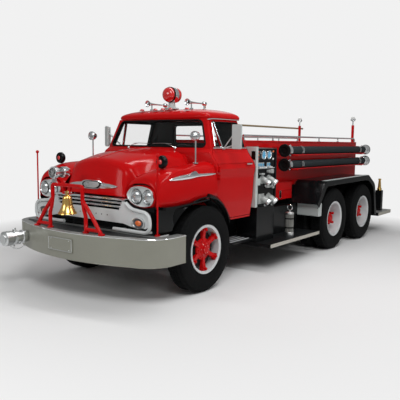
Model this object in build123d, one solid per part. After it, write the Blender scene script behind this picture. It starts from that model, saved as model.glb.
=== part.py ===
"""Conventional fire engine on a tandem-axle chassis: every visible piece as its own solid.

Millimetres.  +X is the vehicle's left side, -Y is forward, +Z is up.
Stations are measured from the front axle, from the centre line and from the ground.
The finished pieces are shifted along Y so that the origin is the middle of the footprint.
"""
import os
from math import cos, radians, sin, sqrt

from build123d import *

# ---------------------------------------------------------------- clearances
SEAT_GAP = 0.3          # between neighbours that rest on each other with curved faces
SHAFT_GAP = 0.08        # radial running clearance of a pin or shaft
HINGE_GAP = 8.0         # between a door or lid and its surround

# ---------------------------------------------------------------- overall reach
FRONT_REACH = 1420.0    # intake tip ahead of the front axle
REAR_REACH = 6200.0     # tailboard edge behind the front axle
ORIGIN_SHIFT = (FRONT_REACH - REAR_REACH) / 2

# ---------------------------------------------------------------- wheels and axles
TYRE_R = 500.0
TYRE_W = 230.0
BEAD_R = 262.0
FLANGE_R = 284.0
RIM_W = 210.0
RIM_WALL = 9.0
TYRE_SHOULDER = 32.0
FRONT_WHEEL_X = 950.0
KINGPIN_X = 750.0
TWIN_OUTER_X = 1030.0
TWIN_SPACING = 272.0
REAR_AXLE_Y = (3410.0, 4653.0)
HAND_HOLE_R = 26.0
HAND_HOLE_PITCH_R = 212.0
HAND_HOLES = 6
HUB_R = 82.0
LUG_R = 13.0
LUG_PITCH_R = 112.0
LUGS = 8
SPOKES = 6
SPOKE_HALF = 24.0
SPOKE_FOOT_HALF = 38.0
SPINDLE_R = 34.0
DRUM_R = 205.0

# ---------------------------------------------------------------- chassis frame
RAIL_X = 450.0          # outer face of the channel web
RAIL_FLANGE = 75.0
RAIL_T = 9.0
RAIL_TOP = 800.0
RAIL_DEPTH = 200.0
RAIL_FRONT = -1050.0
RAIL_REAR = 5450.0
RAIL_NOSE_TOP = 734.0   # rails step down under the bumper deck
RAIL_NOSE_Y = -735.0
CROSS_MEMBER_Y = (-640.0, 1000.0, 1900.0, 2760.0, 4031.0, 5330.0)
CROSS_MEMBER_R = 40.0
CROSS_MEMBER_Z = RAIL_TOP - 60

ENGINE_HALF = 270.0
GEARBOX_OUTPUT_Z = 662.0
BOWL_R = 186.0           # differential bowl

# ---------------------------------------------------------------- front bumper deck
BUMPER_HALF = 1170.0
BUMPER_TOP = 750.0
BUMPER_BOTTOM = 450.0
BUMPER_T = 12.0
BUMPER_NOSE = -1225.0
BUMPER_END = -520.0
POLE_X = 1000.0
POLE_Y = -780.0
POLE_TOP = 1600.0
POLE_R = 9.0
INTAKE_X = -(BUMPER_HALF - 370.0)
INTAKE_Z = 590.0
INTAKE_R = 62.0

# ---------------------------------------------------------------- bell frame
BELL_Y = -1130.0
BELL_BAR_Z = 1240.0
BELL_BAR_HALF = 250.0
BELL_TUBE_R = 21.0
BELL_PIVOT_Z = 1165.0
BELL_PIN_R = 8.0
BELL_MOUTH_Z = 930.0
BELL_MOUTH_R = 104.0
SIREN_X = -215.0
SIREN_Z = 1370.0
SIREN_R = 66.0

# ---------------------------------------------------------------- front end
GRILLE_Y = -840.0
GRILLE_TOP = 1100.0
GRILLE_BOTTOM = 846.0
LAMP_Z = 1142.0
LAMP_X = (700.0, 872.0)
LAMP_R = 74.0
LAMP_FACE_Y = -775.0
PARKING_X = 815.0
PARKING_Z = 872.0
PARKING_SIZE = (66.0, 46.0)
SURROUND_R = 20.0
HOOD_REAR_Y = 150.0
HOOD_PIVOT = (150.0, 1612.0)
HOOD_PIN_R = 6.0
FENDER_X = 1000.0
FENDER_FRONT_Y = -800.0
FENDER_T = 16.0
FENDER_LOW = 1045.0
ARCH_R = 590.0
ARCH_LIP = 62.0
TURN_LAMP = (850.0, -540.0, 1500.0)
TURN_LAMP_R = 70.0

# ---------------------------------------------------------------- cab
CAB_FLOOR = 760.0
CAB_STEP_Z = 1045.0     # floor over the wheel
CAB_STEP_Y = 665.0
FLOOR_T = 18.0
GEARBOX_REAR = CAB_STEP_Y - FLOOR_T - SEAT_GAP      # meets the floor's riser
CAB_WALL = 46.0
BELT_Z = 1640.0
EAVES_Z = 2010.0
ROOF_Z = 2150.0
DOOR_FRONT = 290.0
DOOR_REAR = 1110.0
DOOR_HINGE_X = 1022.0
DOOR_HINGE_Y = 286.0
DOOR_HINGE_Z = (1310.0, 1405.0)
DOOR_PIN_R = 4.0
HANDLE_Z = 1455.0
CAB_REAR = 1180.0
FRAME_T = 26.0          # door window frame, across the door
GLASS_T = 6.0
SEAT_TOP = 1290.0
WHEEL_TILT = 35.0       # steering wheel plane from horizontal
STEERING_R = 215.0
STEERING_CENTRE = (380.0, 560.0, 1560.0)

# ---------------------------------------------------------------- pump and body
PUMP_FRONT = 1195.0
PUMP_REAR = 1800.0
PUMP_X = 930.0
PUMP_BOTTOM = 865.0
PUMP_TOP = 1650.0
BODY_X = 650.0
BODY_FRONT = 1290.0
BODY_REAR = 5450.0
BODY_TOP = 1755.0
BODY_LOW = 1065.0
BED_FLOOR = 1300.0
BED_WALL = 60.0
BODY_RAIL_Z = 1822.0
BODY_RAIL_R = 13.0
POST_TOP = 2085.0
HOSE_X = 820.0
HOSE_Z = (1400.0, 1612.0)
HOSE_R = 64.0
HOSE_FRONT = 2205.0
HOSE_REAR = 5520.0
COUPLING_R = 96.0
FENDER_OUT = 1180.0
FENDER_IN = 662.0
FENDER_TOP = 1160.0
BOARD_Z = 335.0
BOARD_T = 50.0
BOARD_X = FENDER_OUT
BOARD_IN = 600.0
BOARD_FRONT = 1250.0
BOARD_REAR = 2740.0
TAIL_Z = 330.0
TAIL_T = 65.0
TAIL_FRONT = 5470.0
TAIL_X = 1150.0


# ================================================================ helpers
def block(x, y, z):
    """Box from three (low, high) pairs."""
    size = [high - low for low, high in (x, y, z)]
    centre = [(high + low) / 2 for low, high in (x, y, z)]
    return Pos(*centre) * Box(*size)


def rod(start, end, radius):
    """Round bar between two points."""
    start, end = Vector(*start), Vector(*end)
    run = end - start
    plane = Plane(origin=start, z_dir=run)
    return extrude(plane * Circle(radius), run.length)


def both_sides(shape):
    """The shape and its mirror image across the centre line."""
    return Compound(children=[*shape.solids(), *mirror(shape, about=Plane.YZ).solids()])


def group(*shapes):
    """One node made of separate solids."""
    return Compound(children=[solid for shape in shapes for solid in shape.solids()])


def side_plate(points, x):
    """Polygon given as (y, z), extruded between two X values."""
    face = make_face(Polyline(*[(x[0], y, z) for y, z in points], close=True))
    return extrude(face, x[1] - x[0], dir=(1, 0, 0))


def front_plate(points, y):
    """Polygon given as (x, z), extruded between two Y values."""
    face = make_face(Polyline(*[(px, y[0], z) for px, z in points], close=True))
    return extrude(face, y[1] - y[0], dir=(0, 1, 0))


def turned(profile, origin, axis):
    """Solid of revolution: profile points are (radius, distance along the axis)."""
    plane = Plane(origin=origin, z_dir=axis)
    flat = Plane(origin=origin, x_dir=plane.x_dir, z_dir=-plane.y_dir)
    face = make_face(flat * Polyline(*profile, close=True))
    return revolve(face, Axis(origin, axis))


def bent_tube(points, radius, bend):
    """Round tube along straight runs joined by arcs."""
    path = FilletPolyline(*points, radius=bend)
    start = Plane(origin=path @ 0, z_dir=path % 0)
    return sweep(start * Circle(radius), path=path)


def ring_holes(count, pitch_r, radius, centre, depth):
    """Cutters along X on a pitch circle."""
    x, y, z = centre
    cutters = []
    for index in range(count):
        angle = radians(360 / count * index)
        at_y, at_z = y + pitch_r * cos(angle), z + pitch_r * sin(angle)
        cutters.append(rod((x - depth, at_y, at_z), (x + depth, at_y, at_z), radius))
    return Compound(children=cutters)


def band(points, thickness, x, bend):
    """Bent sheet: a path given as (y, z), thickened on its inner side, between two X values."""
    wire = FilletPolyline(*[(x[0], y, z) for y, z in points], radius=bend)
    outline = FilletPolyline(*[(x[0], y, z) for y, z in inset(points, thickness)],
                             radius=bend - thickness)
    ends = [Line(wire @ 0, outline @ 0), Line(wire @ 1, outline @ 1)]
    face = make_face(Wire([*wire.edges(), *outline.edges(), *[e.edge() for e in ends]]))
    return extrude(face, x[1] - x[0], dir=(1, 0, 0))


def inset(points, distance):
    """Offset an open (y, z) path to its right-hand side by mitred corners."""
    normals = []
    for (y0, z0), (y1, z1) in zip(points, points[1:]):
        length = sqrt((y1 - y0) ** 2 + (z1 - z0) ** 2)
        normals.append(((z1 - z0) / length, -(y1 - y0) / length))
    moved = []
    for index, (y, z) in enumerate(points):
        before = normals[max(index - 1, 0)]
        after = normals[min(index, len(normals) - 1)]
        scale = distance / (1 + before[0] * after[0] + before[1] * after[1])
        moved.append((y + (before[0] + after[0]) * scale, z + (before[1] + after[1]) * scale))
    return moved


def skin_top(skin, x, y, radius):
    """Resting height of a round foot on a skin: its highest point under the foot."""
    probe = rod((x, y, 1300), (x, y, 2300), radius)
    return (skin & probe).bounding_box().max.Z + SEAT_GAP


NODES = {}


def keep(name, shape):
    NODES[name] = shape


# ================================================================ wheels
def tyre(x, y):
    """Solid ring with a rounded shoulder, centred at x on an axle at y."""
    half = TYRE_W / 2
    bead = RIM_W / 2 - RIM_WALL - 2
    inner = BEAD_R + SEAT_GAP
    profile = [
        (inner, -bead), (FLANGE_R + 6, -bead), (FLANGE_R + 40, -half + 6), (385, -half),
        (TYRE_R - TYRE_SHOULDER, -half + 10), (TYRE_R, -half + 42), (TYRE_R, half - 42),
        (TYRE_R - TYRE_SHOULDER, half - 10), (385, half), (FLANGE_R + 40, half - 6),
        (FLANGE_R + 6, bead), (inner, bead)]
    return turned(profile, (x, y, TYRE_R), (1, 0, 0))


def barrel(x, y):
    """Open rim: a thin tube with a flange at each edge."""
    half = RIM_W / 2
    profile = [
        (BEAD_R - RIM_WALL, -half + RIM_WALL), (FLANGE_R, -half), (FLANGE_R, -half + RIM_WALL),
        (BEAD_R, -half + RIM_WALL), (BEAD_R, half - RIM_WALL), (FLANGE_R, half - RIM_WALL),
        (FLANGE_R, half), (BEAD_R - RIM_WALL, half - RIM_WALL)]
    return turned(profile, (x, y, TYRE_R), (1, 0, 0))


def front_wheel():
    """Left front wheel: six cast arms from the hub to the rim, clamped by a nut each, and a drum."""
    x, y = FRONT_WHEEL_X, 0.0
    reach = BEAD_R - RIM_WALL + 3
    side = [(-20, HUB_R - 8), (72, HUB_R - 8), (66, 150), (80, 215), (84, reach), (36, reach),
            (14, 150)]
    arm = front_plate([(x + along, TYRE_R + r) for along, r in side], (-SPOKE_HALF, SPOKE_HALF))
    arm += block((x + 32, x + 86), (-SPOKE_FOOT_HALF, SPOKE_FOOT_HALF),
                 (TYRE_R + reach - 28, TYRE_R + reach))
    arm += rod((x + 60, y, TYRE_R + 226), (x + 100, y, TYRE_R + 226), LUG_R)
    hub = turned([(SPINDLE_R + SHAFT_GAP, -60), (HUB_R, -60), (HUB_R, 75), (58, 92),
                  (0, 92), (0, 50), (SPINDLE_R + SHAFT_GAP, 50)], (x, y, TYRE_R), (1, 0, 0))
    drum = turned([(HUB_R - 4, 30), (HUB_R - 4, 44), (DRUM_R, 26), (DRUM_R, -88),
                   (DRUM_R - 16, -88), (DRUM_R - 16, 20)], (x, y, TYRE_R), (1, 0, 0))
    wheel = barrel(x, y) + hub + drum
    for index in range(SPOKES):
        wheel += arm.rotate(Axis((x, y, TYRE_R), (1, 0, 0)), 360 / SPOKES * index)
    return wheel


def twin_wheel(y):
    """Left rear twin wheel: two rims bolted back to back on one hub and drum."""
    outer, inner = TWIN_OUTER_X, TWIN_OUTER_X - TWIN_SPACING
    middle = (outer + inner) / 2
    inside = BEAD_R - RIM_WALL + 2
    centre = (middle, y, TYRE_R)
    reach = TWIN_SPACING / 2 - RIM_W / 2
    disc = turned([(HUB_R - 4, -10), (200, -10), (inside, -reach - 14), (inside, -reach - 30),
                   (190, -26), (HUB_R - 4, -26)], centre, (1, 0, 0))
    disc += mirror(disc, about=Plane(origin=centre, z_dir=(1, 0, 0)))
    disc += turned([(HUB_R - 4, -11), (180, -11), (180, 11), (HUB_R - 4, 11)], centre, (1, 0, 0))
    disc -= ring_holes(HAND_HOLES, HAND_HOLE_PITCH_R, HAND_HOLE_R, centre, 90)
    hub = turned([(SPINDLE_R + SHAFT_GAP, -190), (HUB_R, -190), (HUB_R, 120), (60, 175),
                  (0, 175), (0, 60), (SPINDLE_R + SHAFT_GAP, 60)], centre, (1, 0, 0))
    drum = turned([(HUB_R - 4, -30), (DRUM_R, -52), (DRUM_R, -185), (DRUM_R - 16, -185),
                   (DRUM_R - 16, -66), (HUB_R - 4, -46)], centre, (1, 0, 0))
    lugs = ring_holes(LUGS, LUG_PITCH_R + 18, LUG_R, (middle + 40, y, TYRE_R), 24)
    return barrel(outer, y) + barrel(inner, y) + disc + hub + drum + lugs


keep("left_front_tyre", tyre(FRONT_WHEEL_X, 0))
keep("left_front_rim", front_wheel())
for place, axle_y in zip(("forward", "aft"), REAR_AXLE_Y):
    twins = group(tyre(TWIN_OUTER_X, axle_y), tyre(TWIN_OUTER_X - TWIN_SPACING, axle_y))
    keep(f"left_{place}_tyres", twins)
    keep(f"left_{place}_rims", twin_wheel(axle_y))
for name in [name for name in NODES if name.startswith("left_")]:
    keep(name.replace("left_", "right_"), mirror(NODES[name], about=Plane.YZ))

# ================================================================ front axle and steering
KINGPIN_R = 19.0
BOSS_R = 44.0
BOSS_Z = (432.0, 568.0)
EAR_T = 34.0
EAR_GAP = 3.0
WEB_X = KINGPIN_X + BOSS_R + 8
ARM_LENGTH = 170.0
TIE_Z = 318.0
TIE_PIN_R = 10.0


def axle_beam():
    """Dropped beam with a kingpin boss at each end, on two spring seats."""
    profile = [(-700, 475), (-700, 545), (-600, 520), (-500, 400), (500, 400), (600, 520),
               (700, 545), (700, 475), (620, 440), (520, 310), (-520, 310), (-620, 440)]
    beam = front_plate(profile, (-38, 38))
    for side in (-1, 1):
        beam += block(sorted((side * 690, side * KINGPIN_X)), (-BOSS_R + 8, BOSS_R - 8), (470, 545))
        beam += rod((side * KINGPIN_X, 0, BOSS_Z[0]), (side * KINGPIN_X, 0, BOSS_Z[1]), BOSS_R)
        beam -= rod((side * KINGPIN_X, 0, 400), (side * KINGPIN_X, 0, 600), KINGPIN_R + SHAFT_GAP)
    return beam


def knuckle():
    """Left knuckle: forked ears round the kingpin, spindle outward and a steering arm rearward."""
    low = (BOSS_Z[0] - EAR_GAP - EAR_T, BOSS_Z[0] - EAR_GAP)
    high = (BOSS_Z[1] + EAR_GAP, BOSS_Z[1] + EAR_GAP + EAR_T)
    body = block((WEB_X, WEB_X + 34), (-52, 52), (low[0], high[1]))
    for ear in (low, high):
        body += rod((KINGPIN_X, 0, ear[0]), (KINGPIN_X, 0, ear[1]), BOSS_R - 4)
        body += block((KINGPIN_X, WEB_X + 4), (-BOSS_R + 6, BOSS_R - 6), ear)
    body += rod((KINGPIN_X, 0, low[0]), (KINGPIN_X, 0, high[1]), KINGPIN_R)
    spindle_end = FRONT_WHEEL_X + 44
    body += rod((WEB_X + 20, 0, TYRE_R), (spindle_end, 0, TYRE_R), SPINDLE_R)
    body += rod((WEB_X + 30, 0, TYRE_R), (WEB_X + 42, 0, TYRE_R), DRUM_R - 24)
    arm_z = (low[0], low[0] + 26)
    body += block((KINGPIN_X - 18, KINGPIN_X + 18), (0, ARM_LENGTH), arm_z)
    body += rod((KINGPIN_X, ARM_LENGTH, arm_z[0]), (KINGPIN_X, ARM_LENGTH, arm_z[1]), 24)
    body += rod((KINGPIN_X, ARM_LENGTH, TIE_Z - 18), (KINGPIN_X, ARM_LENGTH, arm_z[0]), TIE_PIN_R)
    return body


def tie_rod():
    bar = rod((-KINGPIN_X, ARM_LENGTH, TIE_Z), (KINGPIN_X, ARM_LENGTH, TIE_Z), 15)
    for side in (-1, 1):
        x = side * KINGPIN_X
        bar += rod((x, ARM_LENGTH, TIE_Z - 20), (x, ARM_LENGTH, TIE_Z + 20), 26)
        bar -= rod((x, ARM_LENGTH, TIE_Z - 40), (x, ARM_LENGTH, TIE_Z + 40), TIE_PIN_R + SHAFT_GAP)
    return bar


keep("left_knuckle", knuckle())
keep("right_knuckle", mirror(knuckle(), about=Plane.YZ))
keep("tie_rod", tie_rod())

# ================================================================ rear axles
AXLE_TUBE_R = 58.0
SPINDLE_REACH = (TWIN_OUTER_X * 2 - TWIN_SPACING) / 2 + 50


def rear_axle(y):
    """Banjo housing with its differential bowl and a spindle at each end."""
    half = [(0, SPINDLE_REACH), (SPINDLE_R, SPINDLE_REACH), (SPINDLE_R, 596), (DRUM_R - 24, 596),
            (DRUM_R - 24, 570), (AXLE_TUBE_R, 560), (AXLE_TUBE_R, 250), (140, 140), (BOWL_R, 50)]
    return turned(half + [(r, -x) for r, x in reversed(half)], (0, y, TYRE_R), (1, 0, 0))


def bogie_springs():
    """Inverted leaf pack on a central trunnion each side, over both axles."""
    front, rear = REAR_AXLE_Y
    middle = (front + rear) / 2
    pack_x = (470.0, 545.0)
    leaves = []
    for step in range(5):
        reach = (rear - front) / 2 + 40 - step * 95
        base = TYRE_R + AXLE_TUBE_R + SEAT_GAP + step * 16
        leaves.append(block(pack_x, (middle - reach, middle + reach), (base, base + 16)))
    pack = leaves[0]
    for leaf in leaves[1:]:
        pack += leaf
    saddle = block((RAIL_X + SEAT_GAP, 560), (middle - 90, middle + 90),
                   (TYRE_R + AXLE_TUBE_R + 80 + SEAT_GAP, RAIL_TOP - 60))
    return both_sides(pack + saddle)


def front_springs():
    """Leaf pack each side, clamped on the beam and hung from the frame by its two eyes."""
    pack_x = (400.0, 470.0)
    seat = 400.0 + SEAT_GAP
    pack = block(pack_x, (-600, 600), (seat + 60, seat + 74))
    for step in range(4):
        reach = 480 - step * 110
        pack += block(pack_x, (-reach, reach), (seat + 45 - step * 15, seat + 61 - step * 15))
    for y in (-600, 600):
        hanger = block((415, 455), (y - 28, y + 28), (seat + 60, RAIL_TOP - RAIL_DEPTH - SEAT_GAP))
        pack += hanger
    return both_sides(pack)



# ================================================================ frame, engine and driveline


def rails():
    """Two channel rails joined by tubular cross members."""
    low = RAIL_TOP - RAIL_DEPTH
    web_in, tip = RAIL_X - RAIL_T, RAIL_X - RAIL_FLANGE
    channel = [(RAIL_X, low), (RAIL_X, RAIL_TOP), (tip, RAIL_TOP), (tip, RAIL_TOP - RAIL_T),
               (web_in, RAIL_TOP - RAIL_T), (web_in, low + RAIL_T), (tip, low + RAIL_T), (tip, low)]
    rail = front_plate(channel, (RAIL_FRONT, RAIL_REAR))
    rail -= block((0, 500), (RAIL_FRONT - 1, RAIL_NOSE_Y), (RAIL_NOSE_TOP, RAIL_TOP + 1))
    reach = web_in - SEAT_GAP
    members = [rod((-reach, y, CROSS_MEMBER_Z), (reach, y, CROSS_MEMBER_Z), CROSS_MEMBER_R)
               for y in CROSS_MEMBER_Y]
    return group(rail, mirror(rail, about=Plane.YZ), *members)


def engine():
    """Engine mass, gearbox and radiator."""
    motor = block((-ENGINE_HALF, ENGINE_HALF), (-480, 130), (RAIL_TOP - 190, 1290))
    motor += block((-180, 180), (130, GEARBOX_REAR), (640, 960))
    motor += rod((0, -560, 900), (0, -470, 900), 60)
    radiator = block((-330, 330), (-680, -610), (RAIL_TOP + SEAT_GAP, 1330))
    web_in = RAIL_X - RAIL_T - SEAT_GAP
    mounts = block((-web_in, web_in), (-60, 20), (680, 730))
    posts = both_sides(block((300, RAIL_X - 20), (-680, -610), (RAIL_TOP + SEAT_GAP, 900)))
    return group(motor + mounts, radiator + posts)


def driveline():
    """Propeller shafts from the gearbox to both axles, with their joints."""
    front, rear = REAR_AXLE_Y
    joint = 70.0
    reach = BOWL_R + joint / 2 + SEAT_GAP
    spans = [((0, GEARBOX_REAR + joint / 2 + SEAT_GAP, GEARBOX_OUTPUT_Z), (0, front - reach, 530)),
             ((0, front + reach, 520), (0, rear - reach, 520))]
    solids = []
    for start, end in spans:
        shaft = rod(start, end, 42)
        for place in (start, end):
            shaft += Pos(*place) * Box(80, joint, 80)
        solids.append(shaft)
    return group(*solids)


def exhaust():
    """Pipe and muffler under the right rail."""
    start = -(ENGINE_HALF + 30 + SEAT_GAP)
    pipe = bent_tube([(start, 60, 660), (start, 60, 540), (-320, 500, 500), (-320, 2400, 500),
                      (-320, 2700, 440)], 30, 60)
    muffler = rod((-320, 1150, 500), (-320, 1850, 500), 85)
    return pipe + muffler


keep("frame_rails", rails())
keep("engine_block", engine())
keep("front_axle", group(axle_beam(), front_springs()))
keep("rear_axles", group(*[rear_axle(y) for y in REAR_AXLE_Y], bogie_springs(), driveline()))
keep("exhaust", exhaust())

# ================================================================ bumper deck and its fittings


def bumper_outline(inset_by, z):
    """Bowed wrap-round outline, open side closed by a straight back."""
    half, nose, end = BUMPER_HALF - inset_by, BUMPER_NOSE + inset_by, BUMPER_END
    corner = (900 - inset_by * 0.4, -1050 + inset_by)
    mid = (1105 - inset_by * 0.75, -935 + inset_by * 0.7)
    side_y = -720 + inset_by * 0.2
    edges = [
        Line((half, end, z), (half, side_y, z)),
        ThreePointArc((half, side_y, z), (*mid, z), (*corner, z)),
        ThreePointArc((*corner, z), (0, nose, z), (-corner[0], corner[1], z)),
        ThreePointArc((-corner[0], corner[1], z), (-mid[0], mid[1], z), (-half, side_y, z)),
        Line((-half, side_y, z), (-half, end, z)),
        Line((-half, end, z), (half, end, z))]
    return make_face(Wire([edge.edge() for edge in edges]))


def bumper():
    """Wrap-round channel with a top deck and two irons on the frame."""
    outer = extrude(bumper_outline(0, BUMPER_BOTTOM), BUMPER_TOP - BUMPER_BOTTOM, dir=(0, 0, 1))
    hollow = extrude(bumper_outline(BUMPER_T, BUMPER_BOTTOM - 1),
                     BUMPER_TOP - BUMPER_BOTTOM - BUMPER_T + 1, dir=(0, 0, 1))
    shell = outer - hollow
    shell -= block((-1060, 1060), (-790, 0), (BUMPER_TOP - 40, BUMPER_TOP + 10))
    shell -= block((-BUMPER_HALF + 20, BUMPER_HALF - 20), (BUMPER_END - 14, 0), (0, BUMPER_TOP + 10))
    for side in (-1, 1):
        iron = block(sorted((side * (RAIL_X - RAIL_FLANGE), side * RAIL_X)),
                     (-1205, RAIL_FRONT - SEAT_GAP), (610, BUMPER_TOP - 4))
        shell += iron & outer
    shell -= rod((INTAKE_X, -1300, INTAKE_Z), (INTAKE_X, -900, INTAKE_Z), INTAKE_R + SEAT_GAP)
    return shell


def guide_poles():
    poles = []
    for side in (-1, 1):
        x = side * POLE_X
        base = BUMPER_TOP + SEAT_GAP
        pole = rod((x, POLE_Y, base), (x, POLE_Y, POLE_TOP - 20), POLE_R)
        pole += rod((x, POLE_Y, base), (x, POLE_Y, base + 14), 28)
        pole += Pos(x, POLE_Y, POLE_TOP - 20) * Sphere(20)
        poles.append(pole)
    return group(*poles)


def suction_intake():
    """Ringed pipe through the bumper face with a capped swivel at its tip."""
    tip = FRONT_REACH
    profile = [(0, -940), (INTAKE_R, -940), (INTAKE_R, -1130), (78, -1130), (78, -1175),
               (66, -1185), (66, -1225), (82, -1235), (82, -1280), (68, -1290), (68, -1310),
               (86, -1318), (86, -tip + 22), (60, -tip + 12), (60, -tip), (0, -tip)]
    pipe = turned([(r, -y) for r, y in profile], (INTAKE_X, 0, INTAKE_Z), (0, -1, 0))
    y = -1257.0
    for index in range(3):
        angle = radians(120 * index + 90)
        start = (INTAKE_X + 60 * cos(angle), y, INTAKE_Z + 60 * sin(angle))
        end = (INTAKE_X + 112 * cos(angle), y, INTAKE_Z + 112 * sin(angle))
        pipe += rod(start, end, 12)
    flange = turned([(INTAKE_R - 2, 928), (100, 928), (100, 940), (INTAKE_R - 2, 940)],
                    (INTAKE_X, 0, INTAKE_Z), (0, -1, 0))
    return pipe + flange


def bell_frame():
    """Tubular frame: a bar on two legs each side, joggled at mid height, on foot pads."""
    y, bar_z, half = BELL_Y, BELL_BAR_Z, BELL_BAR_HALF
    foot = BUMPER_TOP + SEAT_GAP
    main = [(-half - 50, y, foot), (-half - 50, y, 925), (-half - 20, y, 1000), (-half, y, 1100),
            (-half, y, bar_z), (half, y, bar_z), (half, y, 1100), (half + 20, y, 1000),
            (half + 50, y, 925), (half + 50, y, foot)]
    frame = bent_tube(main, BELL_TUBE_R, 26)
    for side in (-1, 1):
        outer = [(side * (half + 6), y, 1085), (side * (half + 100), y, 985),
                 (side * (half + 160), y, 915), (side * (half + 290), y, foot)]
        frame += bent_tube(outer, BELL_TUBE_R, 30)
        frame += rod((side * (half + 50), y, foot + 40), (side * (half + 265), y, foot + 40),
                     BELL_TUBE_R - 2)
        for reach in (half + 50, half + 290):
            frame += rod((side * reach, y, foot), (side * reach, y, foot + 14), 36)
        hanger = block(sorted((side * 50, side * 62)), (y - 16, y + 16), (BELL_PIVOT_Z - 20, bar_z))
        hole = rod((side * 40, y, BELL_PIVOT_Z), (side * 70, y, BELL_PIVOT_Z),
                   BELL_PIN_R + SHAFT_GAP)
        frame += hanger - hole
    return frame - block((-700, 700), (y - 80, y + 80), (foot - 60, foot))


def bell():
    """Bell with a thin wall, hung by a cross pin through its crown boss."""
    y, mouth, r = BELL_Y, BELL_MOUTH_Z, BELL_MOUTH_R
    wall = 7.0
    outer = [(r, 0), (r - 10, 22), (r - 34, 66), (r - 48, 130), (r - 54, 178), (34, 205), (0, 208)]
    inner = [(0, 198), (30, 195), (r - 54 - wall, 172), (r - 48 - wall, 130), (r - 34 - wall, 64),
             (r - 10 - wall, 20), (r - wall, 0)]
    shell = turned(outer + inner, (0, y, mouth), (0, 0, 1))
    shell += block((-20, 20), (y - 13, y + 13), (mouth + 200, BELL_PIVOT_Z + 16))
    shell += rod((-68, y, BELL_PIVOT_Z), (68, y, BELL_PIVOT_Z), BELL_PIN_R)
    shell += rod((0, y, mouth + 62), (0, y, mouth + 200), 5)
    shell += Pos(0, y, mouth + 62) * Sphere(17)
    return shell


def siren():
    """Drum siren on a bracket at the end of the bell frame's bar."""
    front = BELL_Y - 20
    profile = [(0, 0), (SIREN_R, 0), (SIREN_R, 38), (SIREN_R - 12, 48), (SIREN_R - 12, 118),
               (SIREN_R - 3, 126), (SIREN_R - 3, 176), (40, 222), (0, 230)]
    body = turned(profile, (SIREN_X, front, SIREN_Z), (0, 1, 0))
    body += block((SIREN_X - 22, SIREN_X + 22), (BELL_Y - 14, BELL_Y + 14),
                  (BELL_BAR_Z + BELL_TUBE_R + SEAT_GAP, SIREN_Z - SIREN_R + 8))
    return body


keep("front_bumper", bumper())
keep("suction_intake", suction_intake())
keep("deck_frames", group(bell_frame(), guide_poles()))
keep("bell", bell())
keep("siren", siren())

# ================================================================ grille and lamps
SHELL_BACK_Y = -770.0


def grille_panel():
    """Slotted upper panel and deep lower panel, folded out under the headlamps."""
    y = (GRILLE_Y, GRILLE_Y + 14)
    half = [(560, GRILLE_TOP), (640, 1014), (700, 984), (928, 962), (931, 850), (890, 818),
            (700, 818), (560, GRILLE_BOTTOM)]
    panel = front_plate(half + [(-x, z) for x, z in reversed(half)], y)
    for z, half in ((1082, 540), (1040, 520), (998, 500)):
        panel -= block((-half, half), (y[0] - 5, y[1] + 5), (z - 11, z + 11))
    for side in (-1, 1):
        stay = block(sorted((side * 380, side * 430)), (y[1] - 4, SHELL_BACK_Y - SEAT_GAP), (900, 940))
        panel += stay
    return panel


def grille_surround():
    """Bright tube that runs under each headlamp, round the corner and back along the bottom."""
    tubes = []
    for side in (-1, 1):
        y = GRILLE_Y - 4
        path = [(side * 610, y, 1064), (side * 700, y, 1010), (side * 950, y, 985),
                (side * 955, y, 778), (side * 420, y, 778)]
        tube = bent_tube(path, SURROUND_R, 38)
        tube += block(sorted((side * 500, side * 540)), (y, SHELL_BACK_Y - SEAT_GAP), (766, 790))
        tube += block(sorted((side * 900, side * 940)), (y, SHELL_BACK_Y - SEAT_GAP), (766, 790))
        tubes.append(tube)
    top = block((-600, 600), (GRILLE_Y - 10, SHELL_BACK_Y - SEAT_GAP),
                (GRILLE_TOP + SEAT_GAP, GRILLE_TOP + 12))
    return group(*tubes, top)


def headlamps():
    """Paired round lamps, each in its own bowl on a shared oval bezel plate."""
    lamps = []
    for side in (-1, 1):
        outline = [(560, 1150), (640, 1240), (800, 1250), (920, 1215), (948, 1130), (915, 1060),
                   (800, 1035), (680, 1050)]
        bezel = front_plate([(side * x, z) for x, z in outline], (LAMP_FACE_Y, LAMP_FACE_Y + 20))
        for x in LAMP_X:
            lens = [(0, -14), (LAMP_R * 0.6, -10), (LAMP_R, 0), (LAMP_R, 70), (0, 90)]
            bezel += turned(lens, (side * x, LAMP_FACE_Y, LAMP_Z), (0, 1, 0))
        lamps.append(bezel)
    return group(*lamps)


def signal_lamps():
    """Oval parking lamps in the grille and round turn lamps on the fenders."""
    x, y, z = TURN_LAMP
    oval = Plane(origin=(PARKING_X, GRILLE_Y - SEAT_GAP, PARKING_Z), x_dir=(1, 0, 0), z_dir=(0, -1, 0))
    parking = extrude(oval * Ellipse(*PARKING_SIZE), 22)
    r = TURN_LAMP_R
    turn = turned([(0, 0), (r - 4, 6), (r, 20), (r, 36), (r - 22, 60), (0, 62)], (x, y - 30, z + 6),
                  (0, 1, 0))
    turn += rod((x, y, skin_top(fender(), x, y, 12)), (x, y, z), 12)
    return both_sides(group(parking, turn))


keep("grille", group(grille_panel(), grille_surround()))
keep("headlamps", headlamps())

# ================================================================ hood
# y, half width, lower edge, shoulder half width, shoulder height, crown height
HOOD_STATIONS = [
    (-800, 494, 1116, 460, 1128, 1134),
    (-705, 508, 1116, 450, 1420, 1500),
    (-650, 535, 1330, 465, 1462, 1535),
    (-300, 585, 1400, 515, 1545, 1605),
    (HOOD_REAR_Y, 640, 1450, 565, 1585, 1652)]


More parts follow.
